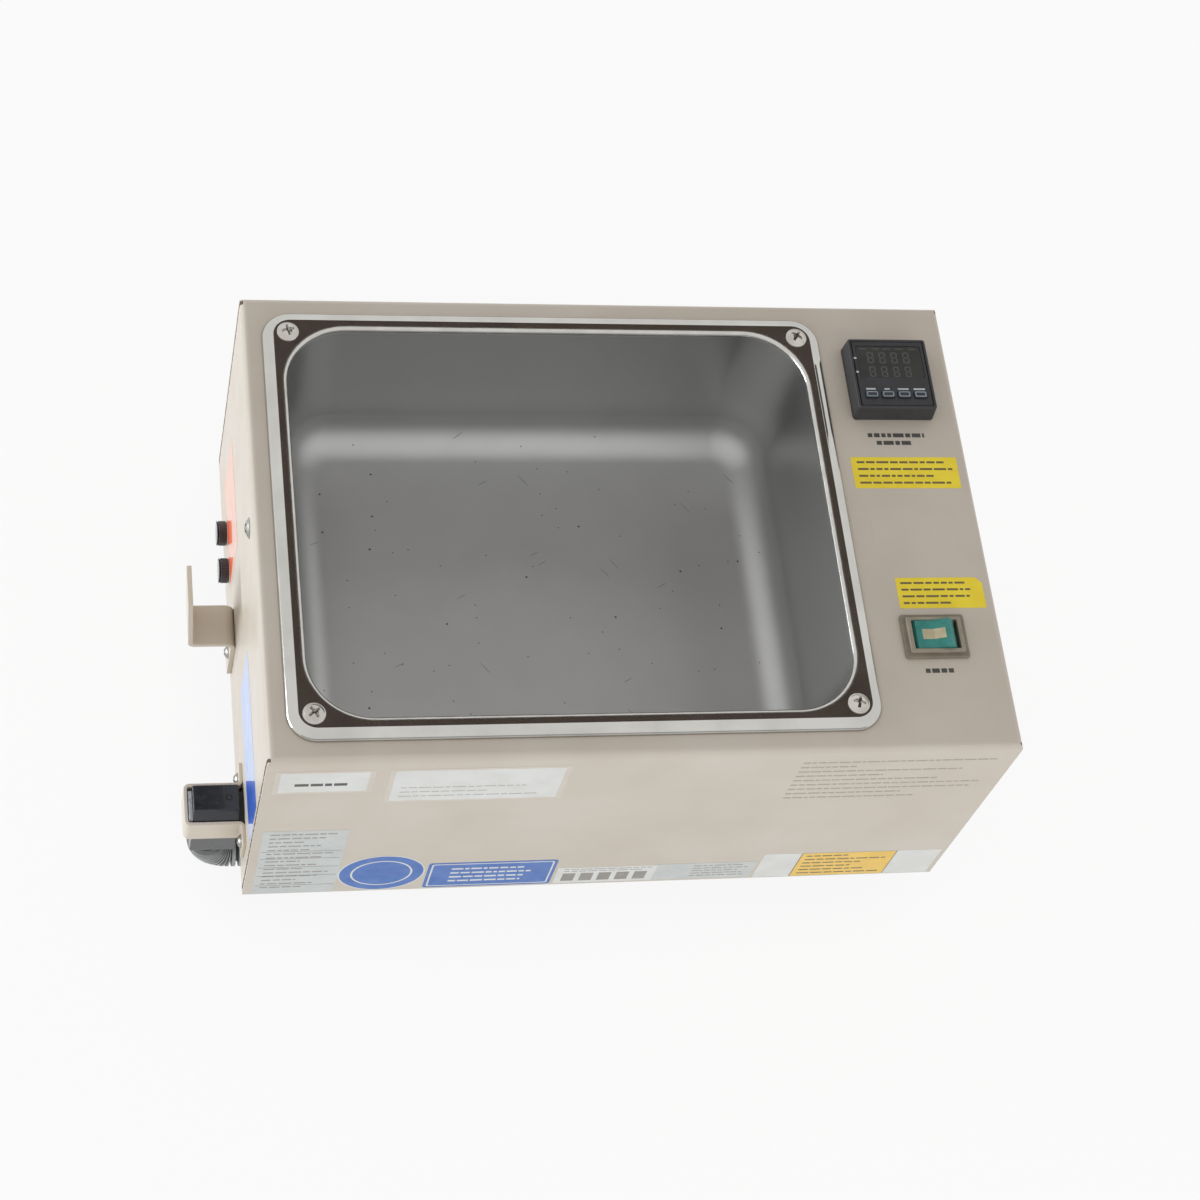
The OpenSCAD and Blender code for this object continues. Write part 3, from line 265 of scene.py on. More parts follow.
def darker(tone, share):
    """A colour taken down to a share of its level."""
    return [c * share for c in tone[:3]] + [1]


def blank(name):
    """A new finish and its nodes."""
    made = bpy.data.materials.new(name)
    made.use_nodes = True
    return made, made.node_tree


def per(mm):
    """Scale of a texture whose features are this many millimetres wide."""
    return 1 / (mm * MM)


def surface(name, base, shade, patch, rough, grain, relief, stretch=(1, 1, 1), **sockets):
    """A finish with soft patches of two shades, uneven gloss and a fine relief.

    Patch and grain are real widths in millimetres, and relief a real height.
    """
    made, tree = blank(name)
    shader = tree.nodes["Principled BSDF"]
    place = node(tree, "TexCoord")["Object"]
    drawn = node(tree, "Mapping", {"Vector": place, "Scale": stretch})[0]
    clouds = node(tree, "TexNoise", {"Vector": drawn, "Scale": per(patch), "Detail": 4.0})[0]
    spread = node(tree, "MapRange", {"Value": clouds, 1: 0.35, 2: 0.65})[0]
    tint = node(tree, "Mix", {0: spread, 6: tone_of(base), 7: tone_of(shade)}, data_type="RGBA")[2]
    smear = node(tree, "TexNoise", {"Vector": drawn, "Scale": per(patch * 0.4), "Detail": 6.0})[0]
    gloss = node(tree, "MapRange", {"Value": smear, 1: 0.3, 2: 0.7, 3: rough[0], 4: rough[1]})[0]
    fine = node(tree, "TexNoise", {"Vector": drawn, "Scale": per(grain), "Detail": 2.0})[0]
    bump = node(tree, "Bump", {"Height": fine, "Distance": relief * MM})[0]
    tree.links.new(tint, shader.inputs["Base Color"])
    tree.links.new(gloss, shader.inputs["Roughness"])
    tree.links.new(bump, shader.inputs["Normal"])
    for socket, value in sockets.items():
        shader.inputs[socket.replace("_", " ")].default_value = value
    return made


def overlay(made, mask, tone, rough=None):
    """Lays a second colour, and where given a second gloss, over a finish where the mask is white."""
    tree = made.node_tree
    shader = tree.nodes["Principled BSDF"]
    under = shader.inputs["Base Color"].links[0].from_socket
    mixed = node(tree, "Mix", {0: mask, 6: under, 7: tone_of(tone)}, data_type="RGBA")[2]
    tree.links.new(mixed, shader.inputs["Base Color"])
    if rough is not None:
        gloss = shader.inputs["Roughness"].links[0].from_socket
        blend = node(tree, "Mix", {0: mask, 2: gloss, 3: rough}, data_type="FLOAT")[0]
        tree.links.new(blend, shader.inputs["Roughness"])


def enamel(name, base, shade):
    """Baked enamel on steel, sprayed: soft gloss, orange peel and faint yellowed patches."""
    return surface(name, base, shade, 60, (0.34, 0.46), 1.6, 0.012, IOR=1.5)


def moulded(name, base, shade, rough=(0.42, 0.52), relief=0.01):
    """Moulded plastic with a fine spark-eroded grain and dull handled patches."""
    return surface(name, base, shade, 9, rough, 0.35, relief, IOR=1.53)


def metal(name, base, shade, rough=(0.2, 0.32), stretch=(1, 1, 1), relief=0.002):
    """Bare metal with fine marks from its forming and a little uneven gloss."""
    return surface(name, base, shade, 12, rough, 0.5, relief, stretch, Metallic=1.0)


def film(name, base, shade):
    """Printed vinyl film: flat colour under a thin clear coat, slightly rubbed."""
    return surface(name, base, shade, 14, (0.32, 0.5), 0.8, 0.004, IOR=1.46)


def shown(name, data):
    """A new object, linked into the scene."""
    made = bpy.data.objects.new(name, data)
    bpy.context.scene.collection.objects.link(made)
    return made


def everything(bm):
    """All corners, edges and faces of a form."""
    return bm.verts[:] + bm.edges[:] + bm.faces[:]


def only(found, kind):
    """The members of one kind among what an operator gave back."""
    return [item for item in found if isinstance(item, kind)]


def running(bm, axis, least=1e-6):
    """Edges of a form that run along an axis by more than a least length."""
    return [e for e in bm.edges if abs(getattr(e.verts[0].co - e.verts[1].co, axis)) > least]


def level_in(bm, axis):
    """Edges of a form that stay level in an axis."""
    return [e for e in bm.edges if abs(getattr(e.verts[0].co - e.verts[1].co, axis)) < 1e-6]


def shift(bm, way):
    """Moves a form."""
    bmesh.ops.translate(bm, vec=way, verts=bm.verts)


def put(bm, place):
    """Moves and turns a form."""
    bmesh.ops.transform(bm, matrix=place, verts=bm.verts)


def outward(bm):
    """Turns a form's faces outward."""
    bmesh.ops.recalc_face_normals(bm, faces=bm.faces)


def block(low, high, corner=0, edge=0, rounds=4):
    """A block between two corners, its upright edges and then its other edges rounded."""
    bm = bmesh.new()
    low = Vector(low)
    high = Vector(high)
    bmesh.ops.create_cube(bm, size=1)
    bmesh.ops.scale(bm, vec=high - low, verts=bm.verts)
    shift(bm, (low + high) / 2)
    if corner:
        bevel(bm, running(bm, "z"), corner, rounds + 2)
    if edge:
        bevel(bm, level_in(bm, "z") if corner else bm.edges, edge, rounds)
    return bm


def bevel(bm, edges, offset, rounds, affect="EDGES"):
    """Rounds edges or corners of a form."""
    return bmesh.ops.bevel(
        bm, geom=list(edges), offset=offset, affect=affect, segments=rounds, profile=0.5, material=-1,
        clamp_overlap=True,
    )


def slab(x, y, z, width, depth, height, corner=0, edge=0, rounds=4):
    """A block on a level, centred on a point."""
    half = Vector((width / 2, depth / 2, 0))
    foot = Vector((x, y, z))
    return block(foot - half, foot + half + Vector((0, 0, height)), corner, edge, rounds)


def turned(profile, steps=48):
    """A form turned about the upright axis from a section of radius and height."""
    bm = bmesh.new()
    points = [bm.verts.new((radius, 0, height)) for radius, height in profile]
    lines = [bm.edges.new(pair) for pair in zip(points, points[1:])]
    bmesh.ops.spin(
        bm, geom=points + lines, cent=(0, 0, 0), axis=(0, 0, 1), angle=math.tau, steps=steps,
        use_merge=True, use_duplicate=False,
    )
    bmesh.ops.remove_doubles(bm, verts=bm.verts, dist=1e-4)
    outward(bm)
    return bm


def arc(cx, cz, radius, start, end, steps):
    """Points along an arc of a section, its angles in degrees."""
    angles = [math.radians(start + (end - start) * i / steps) for i in range(steps + 1)]
    return [(cx + radius * math.cos(a), cz + radius * math.sin(a)) for a in angles]


def swept(profile, width, depth, steps=10):
    """Sweeps a section round a rectangle with round corners.

    The section's first value is its distance from a corner's axis, and width and depth are the
    distances between those axes.
    """
    bm = bmesh.new()
    axis = Vector((width / 2, depth / 2, 0))
    points = [bm.verts.new(axis + Vector((out, 0, height))) for out, height in profile]
    first = [bm.edges.new(pair) for pair in zip(points, points[1:])]
    turn = bmesh.ops.spin(
        bm, geom=points + first, cent=axis, axis=(0, 0, 1), angle=math.pi / 2, steps=steps,
        use_duplicate=False,
    )
    last = only(turn["geom_last"], BMEdge)
    for lines, along in ((first, 1), (last, 0)):
        drawn = bmesh.ops.extrude_edge_only(bm, edges=lines)["geom"]
        for point in only(drawn, BMVert):
            point.co[along] = 0
    for across in "XY":
        whole = everything(bm)
        bmesh.ops.mirror(bm, geom=whole, matrix=Matrix.Identity(4), merge_dist=1e-3, axis=across)
    bmesh.ops.remove_doubles(bm, verts=bm.verts, dist=1e-3)
    return bm


def ribbon(points, width, folds, rounds=5, corner=0):
    """A strip along points in the XZ plane, centred on Y, with a radius for each fold and round ends."""
    bm = bmesh.new()
    line = [bm.verts.new((x, -width / 2, z)) for x, z in points]
    edges = [bm.edges.new(pair) for pair in zip(line, line[1:])]
    drawn = bmesh.ops.extrude_edge_only(bm, edges=edges)["geom"]
    far = only(drawn, BMVert)
    bmesh.ops.translate(bm, vec=(0, width, 0), verts=far)
    if corner:
        ends = [v for v in bm.verts if len(v.link_edges) == 2]
        bevel(bm, ends, corner, rounds, "VERTICES")
    for (x, z), fold in zip(points[1:-1], folds):
        bent = [e for e in bm.edges if all((v.co.xz - Vector((x, z))).length < 1e-3 for v in e.verts)]
        bevel(bm, bent, fold, rounds)
    return bm


def join(target, part, place=None, material=0):
    """Adds a form to a piece, at a place and in one of the piece's finishes."""
    if place is not None:
        put(part, place)
    for face in part.faces:
        face.material_index = material
    held = bpy.data.meshes.new("held")
    part.to_mesh(held)
    part.free()
    target.from_mesh(held)
    bpy.data.meshes.remove(held)
    return target


def carve(bm, cutter):
    """Takes a cutter's forms out of a closed form."""
    made = []
    for name, form in (("carved", bm), ("cutter", cutter)):
        outward(form)
        held = bpy.data.meshes.new(name)
        form.to_mesh(held)
        form.free()
        made.append(shown(name, held))
    whole, tool = made
    taken = whole.modifiers.new("Carve", "BOOLEAN")
    taken.operation = "DIFFERENCE"
    taken.solver = "MANIFOLD"
    taken.object = tool
    bpy.context.view_layer.update()
    seen = whole.evaluated_get(bpy.context.evaluated_depsgraph_get())
    result = bmesh.new()
    result.from_mesh(seen.to_mesh())
    seen.to_mesh_clear()
    for obj in made:
        held = obj.data
        bpy.data.objects.remove(obj)
        bpy.data.meshes.remove(held)
    if not result.faces:
        raise RuntimeError("carving left nothing of a piece")
    return result


def piece(bm, name, finishes, body="root", nodes=(), turn=True, smooth=32, wall=0, edge=0):
    """Makes a finished piece of a form in millimetres, and lets it ride on its body."""
    bmesh.ops.remove_doubles(bm, verts=bm.verts, dist=1e-4)
    if turn:
        outward(bm)
    bmesh.ops.scale(bm, vec=(MM, MM, MM), verts=bm.verts)
    mesh = bpy.data.meshes.new(name)
    bm.to_mesh(mesh)
    bm.free()
    for finish in finishes:
        mesh.materials.append(finish)
    mesh.shade_smooth()
    mesh.set_sharp_from_angle(angle=math.radians(smooth))
    made = shown(name, mesh)
    if wall:
        thick = made.modifiers.new("Sheet", "SOLIDIFY")
        thick.thickness = abs(wall) * MM
        thick.offset = 0 if wall > 0 else -1
        thick.use_even_offset = True
    if edge:
        soft = made.modifiers.new("Edges", "BEVEL")
        soft.width = edge * MM
        soft.segments = 3
        soft.limit_method = "ANGLE"
        soft.angle_limit = math.radians(50)
        soft.harden_normals = False
    made.modifiers.new("Flats", "WEIGHTED_NORMAL").keep_sharp = True
    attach(made, body)
    if nodes:
        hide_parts(*nodes)
    return made


def on_left(y, z):
    """Place on the left wall, its X to the front, its Y up and its Z out of the wall."""
    turn = Matrix(((0, 0, -1), (-1, 0, 0), (0, 1, 0))).to_4x4()
    return Matrix.Translation((CASE_LOW.x, y, z)) @ turn


def on_front(x, z, inset):
    """Place on the front wall, its X to the right, its Y up and its Z out of the wall."""
    turn = Matrix(((1, 0, 0), (0, 0, -1), (0, 1, 0))).to_4x4()
    return Matrix.Translation((x, CASE_LOW.y + inset, z)) @ turn


class MakeCamera(bpy.types.Operator):
    """Place the camera at the photograph's viewing angle"""

    bl_idname = "warmer.camera"
    bl_label = "Camera"

    def execute(self, context):
        s = settings("warmer_stage")
        lens = bpy.data.cameras.new("camera")
        lens.lens = s.lens
        lens.sensor_width = 36
        lens.clip_start = 0.05
        lens.clip_end = 50
        camera = shown("camera", lens)
        look = (Vector(s.aim) - Vector(s.eye)).to_track_quat("-Z", "Y").to_matrix().to_4x4()
        camera.matrix_world = Matrix.Translation(s.eye) @ look @ Matrix.Rotation(s.roll, 4, "Z")
        bpy.context.scene.camera = camera
        return {"FINISHED"}


def tube(name, lines, diameter, rounds, finish):
    """Round tubes along lines in millimetres, closed at their ends, as one object."""
    curve = bpy.data.curves.new(name, "CURVE")
    curve.dimensions = "3D"
    curve.bevel_depth = diameter / 2 * MM
    curve.bevel_resolution = rounds
    curve.use_fill_caps = True
    for line in lines:
        spline = curve.splines.new("POLY")
        spline.points.add(len(line) - 1)
        for point, at in zip(spline.points, line):
            point.co = (*(at * MM), 1)
    curve.materials.append(finish)
    return shown(name, curve)


def flowing(route, steps=8):
    """Points of a smooth line through a route, whose first and last stretches stay straight."""
    points = [Vector(p) for p in route]
    line = [points[0]]
    for a, b, c, d in zip(points, points[1:], points[2:], points[3:]):
        for k in range(steps):
            t = k / steps
            square = 2 * a - 5 * b + 4 * c - d
            cube = 3 * b - a - 3 * c + d
            line.append(0.5 * (2 * b + (c - a) * t + square * t * t + cube * t ** 3))
    return line + points[-2:]


LAYER_TURNS = 2.625


def coil_point(t, s):
    """A point of the coil after t turns: layers wind in and out, and climb where they reverse."""
    step = s.diameter + s.space
    turns = LAYER_TURNS
    layer = math.floor(t / turns)
    wound = (t - layer * turns) * step
    inner = s.coil - turns * step
    radius = s.coil - wound if layer % 2 == 0 else min(inner + wound, s.coil)
    near = round(t / turns)
    past = t - near * turns
    height = min(layer, s.layers - 1)
    if 1 <= near < s.layers and abs(past) < 0.25:
        height = near - 0.5 + 2 * past
    angle = math.tau * t
    low = s.diameter / 2 + s.lift
    return Vector((-radius * math.cos(angle), radius * math.sin(angle), low + height * step))


def eased(share):
    """A smooth step from nought to one."""
    t = min(max(share, 0), 1)
    return t * t * (3 - 2 * t)


def bend_points(hub, radius, first, last, steps):
    """Points round a level bend after its start, with their distance along it; angles in degrees."""
    for i in range(1, steps + 1):
        angle = math.radians(first + (last - first) * i / steps)
        along = radius * abs(angle - math.radians(first))
        yield hub + radius * Vector((math.cos(angle), math.sin(angle), 0)), along


def lead_line(s):
    """The lead's middle line from the boot to the plug, in millimetres."""
    boot_low, boot_high = span("connector_boot")
    coil_low, coil_high = span("mains_cord_coil")
    plug_low, plug_high = span("mains_plug")
    low = s.diameter / 2 + s.lift
    hub = Vector(((coil_low.x + coil_high.x) / 2, CASE_HIGH.y + s.behind, 0))
    start = Vector((boot_high.x, (boot_low.y + boot_high.y) / 2, s.exit))
    line = [start, start + Vector((s.diameter, 0, 0))]
    # Out of the boot round a wide bend, then in a slow curve toward the coil
    turn = 67.5
    bend_hub = line[1] + Vector((0, s.bend, 0))
    for point, along in bend_points(bend_hub, s.bend, -90, turn - 90, 12):
        point.z = start.z - (start.z - low) * eased(along / s.fall)
        line.append(point)
    done = s.bend * math.radians(turn)
    rest = math.radians(90 - turn)
    slow = (hub.x - s.coil - line[-1].x) / (1 - math.cos(rest))
    slow_hub = Vector((hub.x - s.coil - slow, line[-1].y + slow * math.sin(rest), start.z))
    for point, along in bend_points(slow_hub, slow, turn - 90, 0, 24):
        point.z = start.z - (start.z - low) * eased((done + along) / s.fall)
        line.append(point)
    rings = 72
    turns = LAYER_TURNS * s.layers
    line += [hub + coil_point(i / rings, s) for i in range(int(turns * rings) + 1)]
    # Off the coil, past square and back again, down to the plug
    top = line[-1].z
    plug_z = (plug_low.z + plug_high.z) / 2
    line.append(Vector((hub.x + s.coil, hub.y - s.diameter, top)))
    line.append(line[-1] - Vector((0, s.diameter, 0)))
    over = math.radians(s.over)
    way = Vector((math.cos(over), math.sin(over), 0))
    aside = Vector((math.sin(over), -math.cos(over), 0))
    tail_hub = line[-1] + Vector((s.tail, 0, 0))
    far_hub = tail_hub + 2 * s.tail * aside + s.run * way
    first = s.tail * (math.pi / 2 + over)
    whole = first + s.run + s.tail * over
    fall = [(point, along) for point, along in bend_points(tail_hub, s.tail, 180, 270 + s.over, 20)]
    fall += [(tail_hub + s.tail * aside + way * s.run * k / 4, first + s.run * k / 4) for k in (1, 2, 3, 4)]
    back = bend_points(far_hub, s.tail, 90 + s.over, 90, 5)
    fall += [(point, first + s.run + along) for point, along in back]
    for point, along in fall:
        line.append(Vector((point.x, point.y, top - (top - plug_z) * eased(along / whole))))
    line.append(Vector((plug_low.x, line[-1].y, plug_z)))
    return line


class MakeLead(bpy.types.Operator):
    """Make the mains lead with its plug and its tie"""

    bl_idname = "warmer.lead"
    bl_label = "Mains lead"

    def execute(self, context):
        s = settings("warmer_cord")
        line = lead_line(s)
        # Soft PVC sheath, extruded: even and dull, with a faint bloom
        shade = darker(s.sheath, 0.82)
        sheath = surface("PVC sheath", s.sheath, shade, 25, (0.46, 0.6), 0.5, 0.006, IOR=1.53)
        lead = tube("mains_lead", [line], s.diameter, 5, sheath)
        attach(lead, "root")
        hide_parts("mains_cord", "mains_cord_coil", "mains_cord_tail")
        plug = self.plug(s)
        tie = self.tie(s)
        return {"FINISHED"}

    def plug(self, s):
        """Moulded plug: a tapered ribbed neck and a body with finger grips."""
        low, high, mid = extent("mains_plug")
        neck = 16
        neck_end = 6.8
        ribs = [(s.diameter / 2 + 0.2, 0.0)]
        for i in range(5):
            out = 5.2 + 0.45 * i
            at = 0.4 + i * 3.1
            ribs += [(out, at), (out, at + 1.8), (out - 1.1, at + 2.1), (out - 1.1, at + 2.9)]
        ribs += [(neck_end, neck), (neck_end, neck + 1), (0.5, neck + 1)]
        bm = turned(ribs, 32)
        lying = Matrix.Translation((low.x, mid.y, mid.z)) @ Matrix.Rotation(math.pi / 2, 4, "Y")
        put(bm, lying)
        body = block((low.x + neck, low.y, low.z), high)
        bevel(body, running(body, "x", 1), 6, 6)
        bevel(body, level_in(body, "x"), 2.2, 4)
        join(bm, body)
        grip = Vector((2, 0.9, 16))
        for side in (low.y, high.y - grip.y):
            for i in range(4):
                at = Vector((low.x + neck + 9 + i * 5, side, mid.z - grip.z / 2))
                join(bm, block(at, at + grip, edge=0.6, rounds=2))
        pvc = moulded("Moulded PVC", s.plug, darker(s.plug, 0.8))
        return piece(bm, "mains_plug_body", [pvc], nodes=["mains_plug"])

    def tie(self, s):
        """Woven tie round the coil."""
        low, high, mid = extent("cord_tie")
        half = Vector((5, (high.y - low.y) / 2 - 0.5, (high.z - low.z) / 2 - 0.5))
        band = block(-half, half)
        ends = [f for f in band.faces if abs(f.normal.x) > 0.5]
        bmesh.ops.delete(band, geom=ends, context="FACES_ONLY")
        bevel(band, running(band, "x", 1), 3, 6)
        shift(band, mid)
        outward(band)
        # Woven nylon: ribs across the strap, about 0.6 mm apart
        shade = darker(s.tie, 0.6)
        across = (1, 0.25, 0.25)
        woven = surface("Woven nylon", s.tie, shade, 4, (0.7, 0.85), 0.6, 0.12, across, Sheen_Weight=0.3)
        return piece(band, "woven_tie", [woven], nodes=["cord_tie"], turn=False, wall=1.0)


class MakeCase(bpy.types.Operator):
    """Make the folded cover and the rubber feet"""

    bl_idname = "warmer.case"
    bl_label = "Cover and feet"

    def execute(self, context):
        s = settings("warmer_case")
        self.cover(s)
        self.feet(s)
        return {"FINISHED"}

    def hollow(self, low, high, bend):
        """A box with round top edges."""
        bm = block(low, high)
        top = [e for e in bm.edges if min(v.co.z for v in e.verts) > high.z - 1]
        bevel(bm, top, bend, 8)
        return bm

    def cover(self, s):
        """Folded cover: walls and top of one sheet, seams open at the corners, holes for all it carries."""
        low = CASE_LOW + Vector((0, s.front_set, 0))
        high = CASE_HIGH.copy()
        wall = Vector((s.sheet, s.sheet, 0))
        outer = self.hollow(low, high, s.bend)
        below = Vector((0, 0, 5))
        top = Vector((0, 0, s.sheet))
        inner = self.hollow(low + wall - below, high - wall - top, s.bend - s.sheet)
        bm = carve(outer, inner)
        holes = bmesh.new()
        middle = extent("basin_gasket")[2]
        rim_low, rim_high = span("basin")
        b = settings("warmer_basin")
        room = 2 * (b.sheet + 2)
        wide = rim_high.x - rim_low.x - 2 * b.side + room
        deep = rim_high.y - rim_low.y - 2 * b.end + room
        under = high.z - 3
        through = 6
        join(holes, slab(middle.x, middle.y, under, wide, deep, through, b.corner + room / 2, rounds=8))
        for name, less_x, less_y in (("controller_housing", 2.8, 2.8), ("switch_body", 6.4, 5.2)):
            lowest, highest, at = extent(name)
            reach = highest - lowest
            join(holes, slab(at.x, at.y, under, reach.x - less_x, reach.y - less_y, through))
        bore = [(0, -4), (6.3, -4), (6.3, 4), (0, 4)]
        for name in ("fuse_cap_rear", "fuse_cap_front"):
            at = extent(name)[2]
            join(holes, turned(bore, 32), on_left(at.y, at.z))
        lowest, highest = span("mains_inlet")
        lowest = Vector((CASE_LOW.x - 4, lowest.y + 1, lowest.z + 1))
        highest = Vector((CASE_LOW.x + 4, highest.y - 1, highest.z - 1))
        join(holes, block(lowest, highest))
        seam_top = high.z - s.bend - 3
        for x in (low.x, high.x):
            for y, way in ((low.y, 1), (high.y, -1)):
                edge = y + way * s.hem
                across = sorted((edge, edge + way * s.seam))
                slot = block((x - 3, across[0], low.z - 2), (x + 3, across[1], seam_top))
                tops = [e for e in running(slot, "x", 1) if e.verts[0].co.z > seam_top - 1]
                bevel(slot, tops, s.seam * 0.45, 4)
                join(holes, slot)
        bm = carve(bm, holes)
        turn_in = 40
        for side in (low.y + s.sheet, high.y - s.sheet - turn_in):
            join(bm, block((low.x + 3, side, low.z + 1.6), (high.x - 3, side + turn_in, low.z + 3.1)))
        paint = enamel("Baked enamel", s.paint, s.paint_shade)
        self.chip(paint, s)
        piece(bm, "cover", [paint], nodes=["case_cover"])

    def chip(self, paint, s):
        """Enamel chipped off along the open seams and the lower edges, down to rusty steel."""
        tree = paint.node_tree
        place = node(tree, "TexCoord")["Object"]
        axes = node(tree, "SeparateXYZ", {"Vector": place})
        from_mid = node(tree, "Math", {0: axes["Y"]}, operation="ABSOLUTE")[0]
        edge_at = (CASE_HIGH.y - s.hem - s.seam / 2) * MM
        away = node(tree, "Math", {0: from_mid, 1: edge_at}, operation="SUBTRACT")[0]
        away = node(tree, "Math", {0: away}, operation="ABSOLUTE")[0]
        sideways = node(tree, "Math", {0: axes["X"], 1: CASE_MID.x * MM}, operation="SUBTRACT")[0]
        sideways = node(tree, "Math", {0: sideways}, operation="ABSOLUTE")[0]
        wall_at = (CASE_HIGH.x - CASE_MID.x - s.sheet * 1.2) * MM
        on_wall = node(tree, "Math", {0: sideways, 1: wall_at}, operation="GREATER_THAN")[0]
        rough = node(tree, "TexNoise", {"Vector": place, "Scale": per(2.4), "Detail": 5.0})[0]
        reach = node(tree, "MapRange", {"Value": rough, 1: 0.4, 2: 0.7, 3: 0.0007, 4: 0.0017})[0]
        near = node(tree, "Math", {0: away, 1: reach}, operation="LESS_THAN")[0]
        mask = node(tree, "Math", {0: near, 1: on_wall}, operation="MULTIPLY")[0]
        overlay(paint, mask, s.rust, 0.8)

    def feet(self, s):
        """Four moulded rubber feet, tapered, with a rounded tread."""
        low, high = span("rubber_feet")
        bm = bmesh.new()
        tall = high.z - low.z
        radius = 14
        inset = 13.96
        bore = 2.3
        recess = 7
        inside = tall - 9
        section = [(bore, tall), (radius, tall), (radius - 0.1, tall - 1.2)]
        section += [(12.1, 3.2)] + arc(10.6, 1.6, 1.6, 10, -80, 5)
        section += [(7.6, 0), (recess, 0.6), (recess, inside), (bore, inside), (bore, tall)]
        for x in (low.x + radius, high.x - radius):
            for y in (low.y + inset, high.y - inset):
                join(bm, turned(section, 40), Matrix.Translation((x, y, low.z)))
        # Moulded rubber: near black, dull, with a fine bloom
        rubber = surface("Moulded rubber", s.foot, "3a3a3a", 8, (0.62, 0.78), 0.5, 0.02)
        piece(bm, "feet", [rubber], nodes=["rubber_feet"])


class MakeBasin(bpy.types.Operator):
    """Make the pressed basin and its rim screws"""

    bl_idname = "warmer.basin"
    bl_label = "Basin"

    def execute(self, context):
        s = settings("warmer_basin")
        low, high = span("basin")
        floor = low.z + s.sheet
        top = high.z
        wide = high.x - low.x
        deep = high.y - low.y
        middle = (low + high) / 2
        draft = math.degrees(s.draft)
        lip_out = s.corner + s.lip
        lip_z = top - s.lip
        wall_x = lip_out - s.lip * math.cos(s.draft)
        wall_z = lip_z + s.lip * math.sin(s.draft)
        cove_low = floor + s.cove * (1 - math.sin(s.draft))
        cove_x = wall_x - (wall_z - cove_low) * math.tan(s.draft) - s.cove * math.cos(s.draft)
        bowl = arc(cove_x, floor + s.cove, s.cove, -90, -draft, 10)
        bowl += arc(lip_out, lip_z, s.lip, 180 - draft, 90, 8)
        bm = swept(bowl, wide - 2 * s.side - 2 * s.corner, deep - 2 * s.end - 2 * s.corner, 16)
        for face in bm.faces:
            face.material_index = 2 if face.calc_center_median().z > lip_z - 0.2 else 0
        # The rim breaks crisply, dips to a narrow shelf and rolls down to the case
        outer = s.rim_corner
        shelf = s.rim_bead - 1.8
        dip = 1.03
        flat = 0.8
        start = math.radians(10)
        roll = arc(outer - s.rim_bead, top - 1.0, 1.0, 90, 60, 4)
        roll += [(outer - shelf, top - 0.88), (outer - shelf + flat, top - dip)]
        bend = (shelf - flat) / (1 - math.sin(start))
        squash = (s.rim_roll - dip) / (bend * math.cos(start))
        turn = arc(outer - bend, 0, bend, 80, 0, 8)
        roll += [(x, top - s.rim_roll + squash * z) for x, z in turn[1:]]
        rim = swept(roll, wide - 2 * s.rim_corner, deep - 2 * s.rim_corner, 16)
        join(bm, rim, material=1)
        loops = [e for e in bm.edges if e.is_boundary and min(v.co.z for v in e.verts) > top - 1e-3]
        for face in bmesh.ops.bridge_loops(bm, edges=loops)["faces"]:
            face.material_index = 1
        base = [e for e in bm.edges if e.is_boundary and max(v.co.z for v in e.verts) < floor + 1e-3]
        bmesh.ops.edgeloop_fill(bm, edges=base)
        outward(bm)
        flat = max(bm.faces, key=lambda f: f.calc_area())
        if flat.normal.z < 0:
            bmesh.ops.reverse_faces(bm, faces=bm.faces)
        shift(bm, (middle.x, middle.y, 0))
        # Stainless steel, buffed: the lip is softer than the polished rim
        buffed = metal("Buffed stainless steel", s.bright, "bdbbb6", (0.2, 0.26))
        finishes = [self.satin(s), self.polished(s), buffed]
        piece(bm, "bowl", finishes, nodes=["basin"], turn=False, wall=-s.sheet)
        self.screws(s, low, high)
        return {"FINISHED"}

    def satin(self, s):
        """Stainless steel, pressed and satin blasted: soft grey, with dark specks and dried drops, its
        walls darkened as painted shade.
        """
        rough = (0.46, 0.48)
        made = surface("Satin stainless steel", s.steel, "b6b6b5", 45, rough, 0.7, 0.004, Metallic=1.0)
        tree = made.node_tree
        place = node(tree, "TexCoord")["Object"]
        height = node(tree, "SeparateXYZ", {"Vector": place})["Z"]
        low = span("basin")[0].z
        flat = node(tree, "Math", {0: height, 1: (low + 14) * MM}, operation="LESS_THAN")[0]
        # Specks, a few brown spots and two ways of short scratches, drawn a little wide so that they show
        marks = (
            (9, (1, 1, 1), 0, 0.045, 0.1, "6e6a66"), (23, (1, 1, 1), 1.1, 0.028, 0.16, "6b5a4e"),
            (17, (3.2, 0.3, 1), 0.5, 0.06, 0.05, "9c9c9b"), (19, (4.0, 0.3, 1), -0.9, 0.06, 0.05, "a0a09f"),
        )
        for spacing, stretch, turn, reach, share, tone in marks:
            laid = node(
                tree, "Mapping", {"Vector": place, "Scale": stretch, "Rotation": (0, 0, turn)},
                vector_type="TEXTURE",
            )
            dots = node(
                tree, "TexVoronoi", {"Vector": laid[0], "Scale": per(spacing)},
                voronoi_dimensions="2D",
            )
            spot = node(tree, "Math", {0: dots["Distance"], 1: reach}, operation="LESS_THAN")[0]
            few = node(tree, "SeparateColor", {"Color": dots["Color"]})[0]
            few = node(tree, "Math", {0: few, 1: share}, operation="LESS_THAN")[0]
            mask = node(tree, "Math", {0: spot, 1: few}, operation="MULTIPLY")[0]
            mask = node(tree, "Math", {0: mask, 1: flat}, operation="MULTIPLY")[0]
            overlay(made, mask, tone, 0.6)
